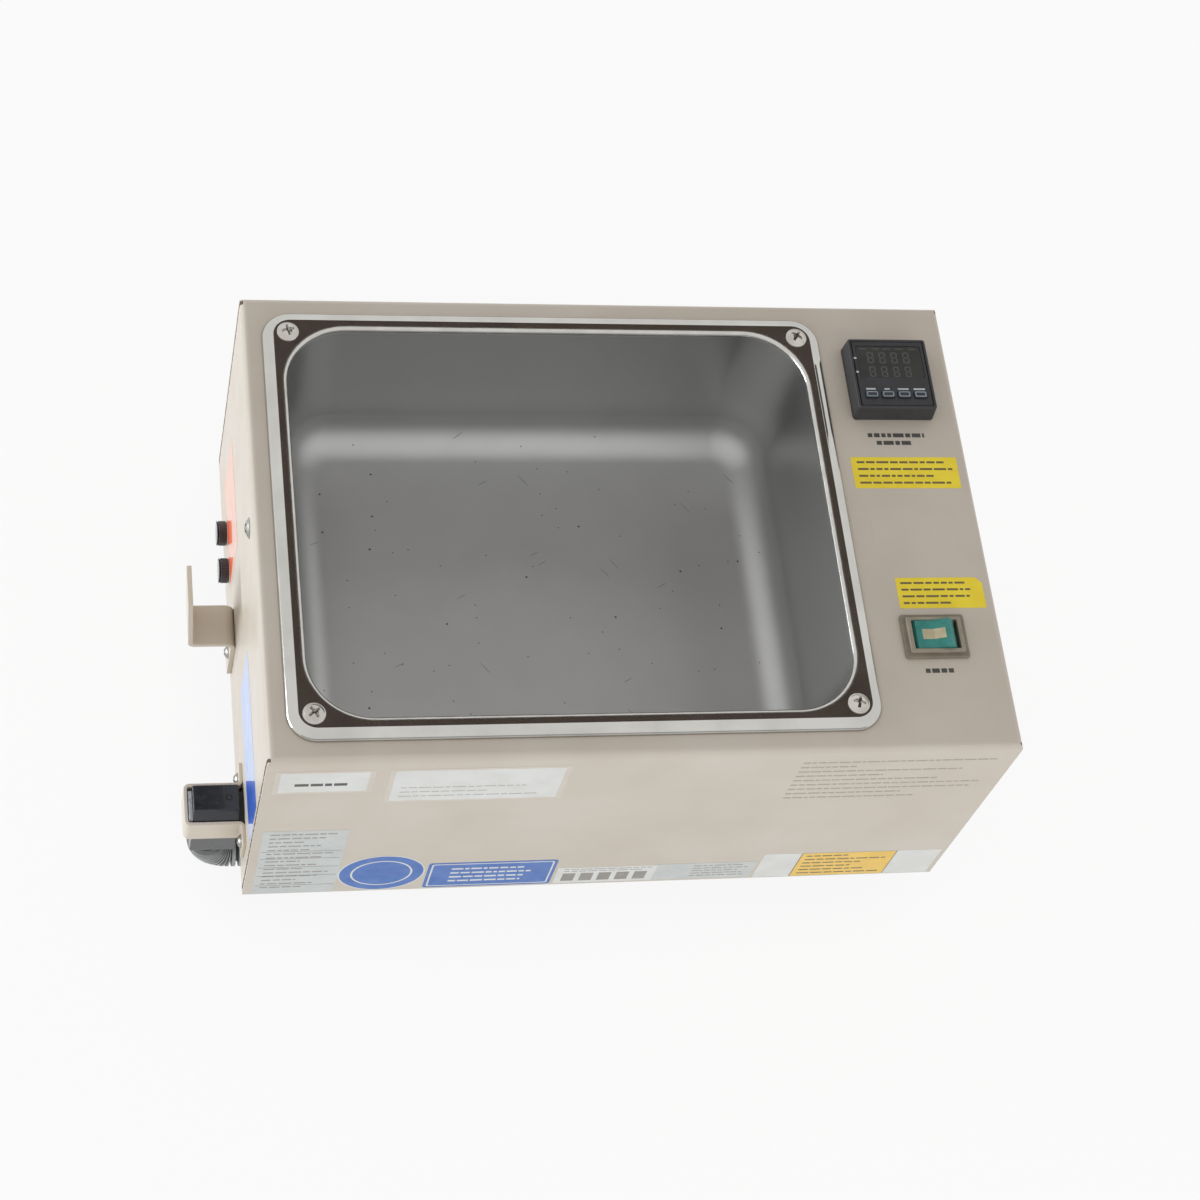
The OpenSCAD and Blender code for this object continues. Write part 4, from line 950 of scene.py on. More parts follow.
        # The walls keep more of the press's shine than the scoured floor, and their colour is taken toward
        # a darker grey as painted shade
        near = node(
            tree, "MapRange", {"Value": height, 1: (low + 8) * MM, 2: (low + 60) * MM, 3: 1.0, 4: 0.7},
            interpolation_type="SMOOTHSTEP",
        )[0]
        drawn = node(tree, "MapRange", {"Value": near, 1: 1.0, 2: 0.7, 3: 0.0, 4: 0.5})[0]
        # Painted shade: the walls' colour is darkened toward 949493
        overlay(made, drawn, "949493")
        shader = tree.nodes["Principled BSDF"]
        gloss = shader.inputs["Roughness"].links[0].from_socket
        mixed = node(tree, "Math", {0: gloss, 1: near}, operation="MULTIPLY")[0]
        tree.links.new(mixed, shader.inputs["Roughness"])
        return made

    def polished(self, s):
        """Stainless steel, polished: mirrors the room, with fine wiping scratches."""
        return surface(
            "Polished stainless steel", s.bright, "bdbbb6", 30, (0.09, 0.15), 2.5, 0.0005, Metallic=1.0
        )

    def screws(self, s, low, high):
        """Four domed screws with cross recesses in the rim's corners."""
        bm = bmesh.new()
        middle = (low + high) / 2
        away = Vector((high.x - middle.x - s.screw_in, high.y - middle.y - s.screw_in, 0))
        for x in (-1, 1):
            for y in (-1, 1):
                at = Matrix.Translation((middle.x + x * away.x, middle.y + y * away.y, high.z))
                turn = Matrix.Rotation(math.radians(20 * x + 35 * y), 4, "Z")
                join(bm, domed_screw(12, 3.05, 5, 12), at @ turn)
        # Nickel-plated steel: bright, slightly warm, with wear round the recess
        plated = metal("Nickel-plated steel", "c9c6bf", "b3b0a9", (0.05, 0.12))
        piece(bm, "rim_screws", [plated], nodes=["basin_screws"])


def domed_screw(head, tall, shank, length):
    """A domed screw with a cross recess, its head above zero and its shank below."""
    radius = (tall * tall + head * head / 4) / (2 * tall)
    rise = math.degrees(math.asin((radius - tall) / radius))
    section = [(0, tall)] + arc(0, tall - radius, radius, 90, rise + 6, 12)[1:]
    section += [(head / 2, 0.35), (head / 2, 0), (shank / 2, 0), (shank / 2, -length), (0, -length)]
    bm = turned(section, 40)
    long = head * 0.29
    narrow = head * 0.065
    for x, y in ((long, narrow), (narrow, long)):
        bm = carve(bm, block((-x, -y, tall * 0.4), (x, y, tall + 1)))
    return bm


def digit(tall, thick):
    """A seven-segment digit with all its bars, standing on its lower left corner."""
    wide = tall * 0.52
    bar = tall * 0.12
    half = tall / 2
    lower = (bar / 3, half - bar / 3)
    upper = (half + bar / 3, tall - bar / 3)
    right = wide - bar
    bars = (
        (bar, tall - bar, right, tall), (right, upper[0], wide, upper[1]),
        (right, lower[0], wide, lower[1]), (bar, 0, right, bar), (0, lower[0], bar, lower[1]),
        (0, upper[0], bar, upper[1]), (bar, half - bar / 2, right, half + bar / 2),
    )
    bm = bmesh.new()
    for x0, y0, x1, y1 in bars:
        join(bm, block((x0, y0, 0), (x1, y1, thick), corner=bar * 0.35, rounds=0))
    return bm


KEYS = ("set_key", "shift_key", "down_key", "up_key")


class MakeController(bpy.types.Operator):
    """Make the panel controller and its keys"""

    bl_idname = "warmer.controller"
    bl_label = "Controller"

    def execute(self, context):
        s = settings("warmer_panel")
        # Moulded ABS: near black, fine grain, edges a little shiny
        black = moulded("Moulded ABS", s.housing, "333337")
        self.housing(s, black)
        self.window(s)
        self.keys(s)
        return {"FINISHED"}

    def housing(self, s, black):
        """Bezel with a groove inside its border, pockets for the window and keys, and a body below."""
        low, high, middle = extent("controller_housing")
        side = high.x - low.x
        panel = CASE_HIGH.z
        bm = slab(middle.x, middle.y, panel, side, side, high.z - panel, 2, s.bezel_edge)
        upper = [v for v in bm.verts if v.co.z > (panel + high.z) / 2]
        narrow = 1 - s.bezel_draft / side
        bmesh.ops.scale(bm, vec=(narrow, narrow, 1), space=Matrix.Translation(-middle), verts=upper)
        face = max(bm.faces, key=lambda f: f.calc_center_median().z * 1000 + f.calc_area())
        bmesh.ops.inset_region(bm, faces=[face], thickness=s.border - s.bezel_edge)
        for out, up in ((0.2, -0.4), (0.2, 0), (0.2, 0.35)):
            bmesh.ops.inset_region(bm, faces=[face], thickness=out, depth=up)
        pockets = bmesh.new()
        window_room = 0.3
        key_room = -0.8
        pocket_rows = [("controller_window", window_room, 0.9)] + [(key, key_room, 2.6) for key in KEYS]
        for name, room, depth in pocket_rows:
            lowest, highest, at = extent(name)
            reach = highest - lowest
            join(pockets, slab(at.x, at.y, high.z - depth, reach.x + room, reach.y + room, 4, 1.1))
        bm = carve(bm, pockets)
        body = 44.8
        join(bm, slab(middle.x, middle.y, low.z, body, body, panel - low.z + 0.2, 0.5, 0.4, 2))
        piece(bm, "controller_case", [black], nodes=["controller_housing"], smooth=40)

    def window(self, s):
        """Window with two rows of unlit digits and a row of faint status marks behind it."""
        low, high, middle = extent("controller_window")
        bm = slab(middle.x, middle.y, high.z - 0.8, high.x - low.x, high.y - low.y, 0.7, 1.3, 0.2, 2)
        top = high.z - 0.1
        pitch = 7.1
        digits = 4
        print_height = 0.04
        start = middle.x + 1 - pitch * digits / 2
        for tall, below in ((s.digit, -0.9), (s.digit * 0.95, -10.1)):
            for i in range(digits):
                at = Matrix.Translation((start + i * pitch, middle.y + below, top))
                join(bm, digit(tall, print_height), at, 1)
        for x, wide in ((-15, 4.2), (-7.2, 3.8), (-0.8, 4.4), (6.8, 4.8), (14.6, 3.8)):
            join(bm, slab(middle.x + x, middle.y + 8.9, top, wide, 0.8, print_height), material=1)
        # Smoked acrylic over an unlit display: dark, glossy, the digits barely lighter
        smoked = surface("Smoked acrylic", s.window, "3f403e", 18, (0.16, 0.26), 1.5, 0.001, IOR=1.49)
        unlit = surface("Unlit display segment", s.segment, "50514f", 5, (0.3, 0.4), 0.6, 0.002)
        piece(bm, "controller_display", [smoked, unlit], nodes=["controller_window"])

    def keys(self, s):
        """Four key caps, each with a printed outline and a plain bar above it."""
        # Screen print: pale blue-grey ink, slightly rubbed
        ink = film("Pale screen print", s.print, "7f8e98")
        cap = moulded("Moulded key", "37383c", "2f3034", (0.36, 0.48))
        foot = 1.4
        margin = 0.9
        line = 2 * s.key_line
        for name in KEYS:
            low, high, middle = extent(name)
            wide = high.x - low.x - foot
            deep = high.y - low.y - foot
            bm = slab(middle.x, middle.y, low.z + 0.5, wide, deep, high.z - low.z - 0.54, 1, 0.35, 3)
            join(bm, slab(middle.x, middle.y, low.z, wide + foot, deep + foot, 0.7, 1))
            wide -= margin
            deep -= margin
            ring = slab(middle.x, middle.y, high.z - 0.2, wide, deep, 0.2, 0.7)
            core = slab(middle.x, middle.y, high.z - 1, wide - line, deep - line, 2, 0.4)
            join(bm, carve(ring, core), material=1)
            piece(bm, name + "_cap", [cap, ink], body=name, nodes=[name])
        marks = bmesh.new()
        low, high = span("controller_housing")
        level = high.z - 0.06
        for name, wide in zip(KEYS, (5.6, 3.1, 6.4, 6.8)):
            lowest, highest = span(name)
            join(marks, slab((lowest.x + highest.x) / 2, highest.y + 1.1, level, wide, 1.0, 0.05))
        left = span("controller_window")[0].x
        middle = (low + high) / 2
        for y in (10.2, 0.9):
            join(marks, slab(left - 1.1, middle.y + y, level, 1.5, 1.1, 0.05))
        pale = film("White screen print", s.legend, "bfc2c5")
        piece(marks, "key_print", [pale])


class MakeSwitch(bpy.types.Operator):
    """Make the rocker switch"""

    bl_idname = "warmer.switch"
    bl_label = "Switch"

    def execute(self, context):
        s = settings("warmer_panel")
        low, high, middle = extent("switch_body")
        panel = CASE_HIGH.z
        wide = high.x - low.x
        deep = high.y - low.y
        gap = 0.7
        bm = slab(middle.x, middle.y, panel, wide, deep, s.flange, 1.5, 0.6)
        well = slab(
            middle.x, middle.y, panel - 30, s.rocker_length + gap, s.rocker_breadth + gap, 60, 0.3, rounds=2
        )
        upper = slab(
            middle.x, middle.y, panel + s.flange - 0.3, wide - 2 * s.step, deep - 2 * s.step,
            high.z - panel - s.flange + 0.3, 1, 0.5
        )
        bm = carve(bm, well.copy())
        join(bm, carve(upper, well.copy()), material=1)
        wall = 3.2
        wide = s.rocker_length + gap + wall
        deep = s.rocker_breadth + gap + wall
        body = slab(middle.x, middle.y, low.z, wide, deep, panel - low.z, 0.5)
        shift(well, (0, 0, 13))
        join(bm, carve(body, well))
        # Moulded nylon: brown grey, satin, the upper step lighter from handling
        brown = moulded("Moulded nylon", s.frame, "7c7263", (0.38, 0.5))
        worn = moulded("Handled nylon", "9d9483", "8d8473", (0.34, 0.46))
        piece(bm, "switch_frame", [brown, worn], nodes=["switch_body"])
        self.rocker(s, middle, panel)
        return {"FINISHED"}

    def rocker(self, s, middle, panel):
        """Rocker of two flats that meet in a shallow valley, with a pale lens let in."""
        pivot = Vector((middle.x, middle.y, panel - s.rocker_drop))
        radius = s.rocker_length / 2
        valley = 4.2 + s.rocker_drop
        half = self.half_rocker(s, radius, valley)
        whole = everything(half)
        bmesh.ops.mirror(half, geom=whole, matrix=Matrix.Identity(4), merge_dist=1e-3, axis="X")
        outward(half)
        sharp = [e for e in half.edges if len(e.link_faces) == 2 and e.calc_face_angle(0) > math.radians(25)
                 and min(v.co.z for v in e.verts) > 0]
        bevel(half, sharp, 0.45, 3)
        slope = math.tan(s.rocker_tilt)
        for side in (-1, 1):
            lens = block((-6.6, -3.05, -0.6), (0.02, 3.05, 0.06))
            ends = [v for v in lens.verts if v.co.x < -1]
            for v in lens.verts:
                v.co.z += valley + abs(v.co.x) * slope
            bevel(lens, [e for e in lens.edges if all(v in ends for v in e.verts)], 0.5, 2)
            if side > 0:
                bmesh.ops.scale(lens, vec=(-1, 1, 1), verts=lens.verts)
                bmesh.ops.reverse_faces(lens, faces=lens.faces)
            join(half, lens, material=1)
        place = Matrix.Translation(pivot) @ Matrix.Rotation(-s.rocker_tilt, 4, "Y")
        put(half, place)
        # Tinted polycarbonate: blue-green, glossy, slightly clouded
        green = surface("Tinted polycarbonate", s.rocker, "347f76", 6, (0.24, 0.36), 0.5, 0.004, IOR=1.58)
        pale = surface("Clouded lens", s.lens, "b4a988", 4, (0.2, 0.32), 0.5, 0.004, IOR=1.49)
        piece(half, "rocker", [green, pale], body="switch_rocker", nodes=["switch_rocker"])

    def half_rocker(self, s, radius, valley):
        """Left half of the rocker, cut from a drum that lies across the switch."""
        bm = bmesh.new()
        bmesh.ops.create_cone(
            bm, cap_ends=True, segments=72, radius1=radius, radius2=radius, depth=s.rocker_breadth,
            matrix=Matrix.Rotation(math.pi / 2, 4, "X"),
        )
        slope = math.tan(s.rocker_tilt)
        planes = (
            (Vector((0, 0, valley)), Vector((slope, 0, 1)), True),
            (Vector((0, 0, -radius / 2)), Vector((0, 0, -1)), True),
            (Vector((0, 0, 0)), Vector((1, 0, 0)), False),
        )
        for at, normal, close in planes:
            whole = everything(bm)
            cut = bmesh.ops.bisect_plane(bm, geom=whole, plane_co=at, plane_no=normal, clear_outer=True)
            edges = only(cut["geom_cut"], BMEdge)
            if close:
                bmesh.ops.edgeloop_fill(bm, edges=edges)
        return bm


class MakeFuses(bpy.types.Operator):
    """Make the two fuses and their knurled caps"""

    bl_idname = "warmer.fuses"
    bl_label = "Fuses"

    def execute(self, context):
        s = settings("warmer_wall")
        # Moulded phenolic: near black, a dull shine on the knurls, paler rubbed ends
        phenolic = moulded("Moulded phenolic", s.fuse, "3a3839", (0.32, 0.46))
        rubbed = moulded("Polished phenolic", "57585c", "47484c", (0.1, 0.18))
        # Nylon washer: milky, waxy, lets a little light through
        nylon = moulded("Natural nylon", "e4e0d6", "d8d3c8", (0.35, 0.5))
        glass = surface(
            "Fuse glass", "f2f5f4", "e8eeec", 5, (0.03, 0.07), 1, 0.001, IOR=1.5,
            Transmission_Weight=0.9,
        )
        plated = metal("Nickel-plated brass", "cfcabc", "b9b3a3", (0.18, 0.28))
        bore = 3.6
        washer = 6.9
        barrel = 6.1
        deep = -40
        tail = -46
        section = [
            (bore, 0.5), (6.5, 0.6), (washer, 0.4), (washer, 0), (barrel, 0), (barrel, deep),
            (2, deep - 0.4), (2, tail), (0.6, tail), (0.6, deep + 2), (bore, deep + 2), (bore, 0.5),
        ]
        holders = bmesh.new()
        for name in ("rear", "front"):
            low, high, middle = extent("fuse_cap_" + name)
            place = on_left(middle.y, middle.z)
            self.cap(s, low, high, place, name, phenolic, rubbed)
            join(holders, turned(section, 48), place)
            self.link(name, place, glass, plated)
        for face in holders.faces:
            face.material_index = 1 if face.calc_center_median().x < CASE_LOW.x - 0.05 else 0
        piece(holders, "fuse_holder_bodies", [phenolic, nylon], nodes=["fuse_holders"])
        return {"FINISHED"}

    def cap(self, s, low, high, place, name, phenolic, rubbed):
        """Knurled cap with a shoulder and a domed end."""
        radius = (high.y - low.y) / 2
        base = CASE_LOW.x - high.x
        tall = high.x - low.x - 1
        fine = 4
        bm = bmesh.new()
        ring = bmesh.ops.create_circle(bm, cap_ends=True, segments=s.knurls * fine, radius=radius)["verts"]
        for i, point in enumerate(ring):
            if i % fine == 0:
                point.co *= (radius - s.groove) / radius
        bmesh.ops.translate(bm, vec=(0, 0, base), verts=ring)
        grip = bmesh.ops.extrude_face_region(bm, geom=bm.faces[:])["geom"]
        upper = only(grip, BMVert)
        bmesh.ops.translate(bm, vec=(0, 0, tall - 0.3), verts=upper)
        face = only(grip, BMFace)[0]
        for out, up in ((0.4, 0.3), (0.6, 0.28), (1.2, 0.34), (1.9, 0.26), (1.9, 0.12)):
            bmesh.ops.inset_region(bm, faces=[face], thickness=out, depth=up)
        for f in bm.faces:
            f.material_index = 1 if f.calc_center_median().z > base + tall else 0
        put(bm, place)
        body = "fuse_cap_" + name
        piece(bm, body + "_grip", [phenolic, rubbed], body=body, nodes=[body], smooth=28)

    def link(self, name, place, glass, plated):
        """Glass fuse with plated end caps and a thin wire."""
        low, high = span("fuse_" + name)
        start = CASE_LOW.x - high.x
        end = CASE_LOW.x - low.x
        pipe = 2.75
        cap_end = 3.15
        cap_long = 6.4
        wire = 0.15
        bm = turned([(0, start + 1), (pipe, start + 1), (pipe, end - 1), (0, end - 1)], 32)
        cap = [(0, 0), (2.7, 0), (cap_end, 0.45), (cap_end, cap_long), (2.8, cap_long)]
        for at, way in ((start, 1), (end, -1)):
            join(bm, turned([(r, at + way * h) for r, h in cap], 32), material=1)
        join(bm, turned([(0, start + 3), (wire, start + 3), (wire, end - 3), (0, end - 3)], 8), material=1)
        put(bm, place)
        body = "fuse_" + name
        piece(bm, body + "_link", [glass, plated], body=body, nodes=[body])


class MakeBrackets(bpy.types.Operator):
    """Make the cord hook, the strap and the screws on the left wall"""

    bl_idname = "warmer.brackets"
    bl_label = "Brackets"

    def execute(self, context):
        s = settings("warmer_wall")
        paint = enamel("Bracket enamel", s.bracket, "cdc1b0")
        half = s.hook_strip / 2
        low, high = span("cord_hook")
        wall = CASE_LOW.x
        reach = 27
        shelf = 78 - half
        lean = wall - low.x - half
        flat = wall - half
        points = [(flat, low.z), (flat, shelf), (wall - reach + half, shelf), (wall - lean, high.z)]
        bm = ribbon(points, high.y - low.y, (s.hook_fold, s.fold), corner=1)
        shift(bm, (0, (low.y + high.y) / 2, 0))
        piece(bm, "hook", [paint], nodes=["cord_hook"], wall=s.hook_strip, edge=0.35)
        half = s.strip / 2
        low, high = span("retention_strap")
        middle = (low.y + high.y) / 2
        half_w = 12.7 - half
        far = wall - low.x - half
        ends = (high.y - low.y) / 2
        one_side = [(half, ends), (half, half_w), (far, half_w)]
        points = [(x, -y) for x, y in one_side] + one_side[::-1]
        bm = ribbon(points, high.z - low.z, (s.fold,) * 4)
        stand = Matrix(((-1, 0, 0, wall), (0, 0, 1, middle), (0, 1, 0, (low.z + high.z) / 2), (0, 0, 0, 1)))
        put(bm, stand)
        piece(bm, "strap", [paint], nodes=["retention_strap"], wall=s.strip, edge=0.35)
        self.screws()
        return {"FINISHED"}

    def screws(self):
        """Domed screws of the strap, the hook and the wall."""
        # Zinc-plated steel: grey, slightly blue, dulled by handling
        zinc = metal("Zinc-plated steel", "b3b1ab", "96948e", (0.24, 0.38))
        s = settings("warmer_wall")
        for name, head, tall, angle, seat in (
            ("strap_screws", 8, 2.5, 25, s.strip), ("hook_screws", 8, 2.5, 60, s.hook_strip),
            ("side_screw", 11.6, 2.5, 10, 0),
        ):
            low, high = span(name)
            bm = bmesh.new()
            places = {low.y + head / 2, high.y - head / 2}
            if high.y - low.y < head + 1:
                places = {(low.y + high.y) / 2}
            for y in sorted(places):
                place = on_left(y, (low.z + high.z) / 2) @ Matrix.Translation((0, 0, seat))
                turn = Matrix.Rotation(math.radians(angle + y), 4, "Z")
                join(bm, domed_screw(head, tall, 4, high.x - CASE_LOW.x + seat), place @ turn)
            piece(bm, name + "_domed", [zinc], nodes=[name])


class MakeConnector(bpy.types.Operator):
    """Make the mains connector, its tag and its ribbed boot"""

    bl_idname = "warmer.connector"
    bl_label = "Connector"

    def execute(self, context):
        s = settings("warmer_wall")
        low, high = span("mains_connector")
        back = CASE_LOW.x - 2.8
        bm = block(low, (back, high.y, high.z))
        drop = 3.4
        slope = (Vector((0, low.y, high.z - drop)), Vector((0, -drop, 5)).normalized())
        whole = everything(bm)
        cut = bmesh.ops.bisect_plane(bm, geom=whole, plane_co=slope[0], plane_no=slope[1], clear_outer=True)
        rim = only(cut["geom_cut"], BMEdge)
        bmesh.ops.edgeloop_fill(bm, edges=rim)
        bevel(bm, bm.edges[:], 0.9, 4)
        middle = extent("mains_inlet")[2]
        nose = Vector((0, 7.7, 11.8))
        middle.x = back - 1
        tip = Vector((high.x, middle.y, middle.z))
        join(bm, block(middle - nose, tip + nose, edge=1))
        mark = turned([(0, 0.1), (1.2, 0.1), (1.5, 0.35), (1.8, 0.35), (2.0, 0), (2.0, -0.5)], 32)
        top = Vector((back - 5.5, (low.y + high.y) / 2 + 2.4, high.z - 0.35))
        join(bm, mark, Matrix.Translation(top))
        # Glossy PVC: blue black, smooth from the mould, a skin that mirrors softly
        black = surface(
            "Glossy PVC", s.connector, "1d2027", 10, (0.2, 0.3), 0.6, 0.003, IOR=1.53, Coat_Weight=0.3
        )
        piece(bm, "connector", [black], nodes=["mains_connector"])
        self.tag(s)
        self.boot(s)
        return {"FINISHED"}

    def tag(self, s):
        """Clear tag that stands on the connector's end."""
        low, high = span("connector_tag")
        bm = block(low, high)
        along = running(bm, "x", 1)
        bevel(bm, along, 2, 5)
        bevel(bm, level_in(bm, "x"), 0.4, 2)
        # Clear polycarbonate: faintly blue, lightly scuffed
        clear = surface(
            "Clear polycarbonate", s.tag, "dfe6ea", 6, (0.08, 0.2), 0.5, 0.004, IOR=1.58,
            Transmission_Weight=0.55,
        )
        piece(bm, "clear_tag", [clear], nodes=["connector_tag"])

    def boot(self, s):
        """Ribbed boot: a smooth neck, ribs round a quarter bend and a short ribbed tail."""
        low, high = span("connector_boot")
        middle_y = (low.y + high.y) / 2
        hub = Vector((low.x + s.rib / 2 + s.boot_bend, middle_y, high.z - 6))
        bm = bmesh.new()
        ring = bmesh.ops.create_circle(bm, cap_ends=True, segments=40, radius=s.root / 2)["verts"]
        bmesh.ops.translate(bm, vec=(hub.x - s.boot_bend, middle_y, high.z), verts=ring)
        face = bm.faces[:][0]
        now = {"face": face, "size": s.root, "centre": Vector((hub.x - s.boot_bend, middle_y, high.z))}

        def grow(matrix, diameter):
            """Draws the boot's end on by a move, and gives it a new diameter."""
            drawn = bmesh.ops.extrude_discrete_faces(bm, faces=[now["face"]])["faces"][0]
            centre = matrix @ now["centre"]
            bmesh.ops.transform(bm, matrix=matrix, verts=drawn.verts)
            scale = diameter / now["size"]
            about = Matrix.Translation(-centre)
            bmesh.ops.scale(bm, vec=(scale, scale, scale), space=about, verts=drawn.verts)
            for side in {f for e in drawn.edges for f in e.link_faces} - {drawn}:
                # Faces between two ribs take the second finish, a darker grey that paints the shade in the
                # gaps
                side.material_index = 1 if now["size"] == diameter == s.root else 0
            now.update(face=drawn, size=diameter, centre=centre)

        grow(Matrix.Translation((0, 0, -6)), s.root)
        edge = s.rib - 0.9
        steps = ((0.6, edge), (0.5, s.rib), (3.8, s.rib), (0.5, edge), (0.6, s.root), (4.0, s.root))
        for degrees, diameter in steps * 9:
            turn = Matrix.Rotation(math.radians(-degrees), 4, "Y")
            grow(Matrix.Translation(hub) @ turn @ Matrix.Translation(-hub), diameter)
        edge = s.rib - 0.8
        steps = ((0.15, edge), (0.15, s.rib), (1.9, s.rib), (0.15, edge), (0.15, s.root), (1.5, s.root))
        for move, diameter in steps * 4:
            grow(Matrix.Translation((move, 0, 0)), diameter)
        # Soft PVC: mid grey, dull, chalky on the ribs; the faces between the ribs take a darker grey as
        # painted shade
        grey = surface("Soft grey PVC", s.boot, "959795", 7, (0.48, 0.62), 0.5, 0.01, IOR=1.53)
        gap_shade = surface("PVC in painted shade between ribs", "4b4d4b", "3f413f", 7, (0.6, 0.75), 0.5, 0.01, IOR=1.53)
        piece(bm, "boot", [grey, gap_shade], nodes=["connector_boot"], smooth=40)


class MakePlates(bpy.types.Operator):
    """Make the blank plates, stickers and plain bars on the case

    Places on a wall are millimetres from its middle line and its lower edge, measured in the photograph.
    """

    bl_idname = "warmer.plates"
    bl_label = "Plates"

    thick = 0.11
    layer = 0.025

    def execute(self, context):
        self.draw = random.Random(11)
        # Printed vinyl and paper: even colours, a little faded and rubbed; the pale orange and pale blue
        # are labels washed out by painted glare
        inks = (
            ("yellow", "Yellow vinyl", "fbe23c", "f4d834"),
            ("amber", "Warm yellow vinyl", "f4cb62", "edc259"),
            ("white", "White paper sticker", "e2e2de", "dadad5"),
            ("pale", "Clear film edge", "d6cdc2", "d2c8bc"),
            ("grey plate", "Grey printed plate", "cdd0cd", "c5c8c5"),
            ("blue", "Blue vinyl", "4a75bd", "426cb4"),
            ("deep blue", "Deep blue vinyl", "1f55b4", "1a4ca6"),
            ("orange", "Orange vinyl", "e6683a", "dd5f33"),
            ("glared_orange", "Orange vinyl under painted glare", "e9c3b4", "e4b9a9"),
            ("sky", "Blue vinyl under painted glare", "bfc9e2", "b4c0dc"),
            ("ink", "Dark ink", "6d6242", "7a6e4b"),
            ("grey", "Grey ink", "8f8a84", "9a958e"),
            ("black", "Black ink", "4b4a48", "565553"),
            ("faint", "Faint ink", "a79e93", "aea599"),
        )
        self.names = [row[0] for row in inks]
        self.inks = [film(*row[1:]) for row in inks]
        self.top()
        self.front()
        self.left()
        return {"FINISHED"}

    def level(self, bm, form, ink, level):
        """Lays a form of film on a level of the stack."""
        base = self.thick + self.layer * (level - 1) if level else 0
        tall = self.layer if level else self.thick
        bmesh.ops.scale(form, vec=(1, 1, tall), verts=form.verts)
        join(bm, form, Matrix.Translation((0, 0, base)), self.names.index(ink))

    def plate(self, bm, x0, y0, x1, y1, ink, level=0, corner=0.6):
        """A plate of film between two corners of a wall."""
        self.level(bm, block((x0, y0, 0), (x1, y1, 1), corner, rounds=1), ink, level)

    def patch(self, bm, corners, ink, level):
        """A plate of film with straight sides between its corners."""
        form = bmesh.new()
        points = [form.verts.new((x, y, 0)) for x, y in corners]
        face = bmesh.ops.contextual_create(form, geom=points)["faces"]
        drawn = bmesh.ops.extrude_face_region(form, geom=face)["geom"]
        far = only(drawn, BMVert)
        bmesh.ops.translate(form, vec=(0, 0, 1), verts=far)
        outward(form)
        self.level(bm, form, ink, level)

    def disc(self, bm, x, y, radius, ink, level):
        """A round plate of film."""
        form = bmesh.new()
        at = Matrix.Translation((x, y, 0.5))
        bmesh.ops.create_cone(
            form, cap_ends=True, segments=64, radius1=radius, radius2=radius, depth=1, matrix=at
        )
        self.level(bm, form, ink, level)

    def lines(self, bm, x0, y0, x1, y1, rows, ink, level=1, fill=(1.0,), tall=0.3):
        """Rows of plain bars in place of writing; fill gives the share of each row in turn."""
        pitch = (y1 - y0) / rows
        bar = pitch * tall
        for row in range(rows):
            y = y1 - (row + 0.5) * pitch
            x = x0
            end = x0 + (x1 - x0) * fill[row % len(fill)]
            while x < end - 1:
                stop = min(x + self.draw.uniform(2.0, 7.5), end)
                self.plate(bm, x, y - bar / 2, stop, y + bar / 2, ink, level, 0)
                x = stop + 1.0

    def done(self, bm, place, name):
        """Puts a wall's plates in place."""
        put(bm, place)
        piece(bm, name, self.inks, smooth=20)

    def top(self):
        """Two yellow plates, plain bars under the controller and the switch, and a bare outline."""
        bm = bmesh.new()
        self.plate(bm, 133.8, 19.3, 196.3, 39.5, "yellow")
        self.lines(bm, 137, 20.6, 193, 38.4, 4, "ink", fill=(0.92, 1, 0.8, 0.96))
        label = block((147, -57, 0), (197, -38, 1))
        clipped = [e for e in running(label, "z", 0.5) if e.verts[0].co.x > 190 and e.verts[0].co.y > -40]
        bevel(label, clipped, 3.5, 1)
        self.level(bm, label, "yellow", 0)
        self.lines(bm, 149.5, -55.8, 191, -39.2, 4, "ink", fill=(0.9, 1, 0.94, 0.7))
        for x0, y0, x1, y1 in ((146.5, 52.4, 180, 55.6), (151, 47.4, 172, 50.6), (155, -96.9, 171, -93.7)):
            self.lines(bm, x0, y0, x1, y1, 1, "black", 0, tall=0.8)
        outline = (
            (128, -14.7, 139.4, -14.3), (128, 13.1, 139.4, 13.5), (128, -14.3, 128.4, 13.1),
            (139, -14.3, 139.4, 13.1),
        )
        for x0, y0, x1, y1 in outline:
            self.plate(bm, x0, y0, x1, y1, "pale", 0, 0)
        self.done(bm, Matrix.Translation((CASE_MID.x, 0, CASE_HIGH.z)), "top_plates")

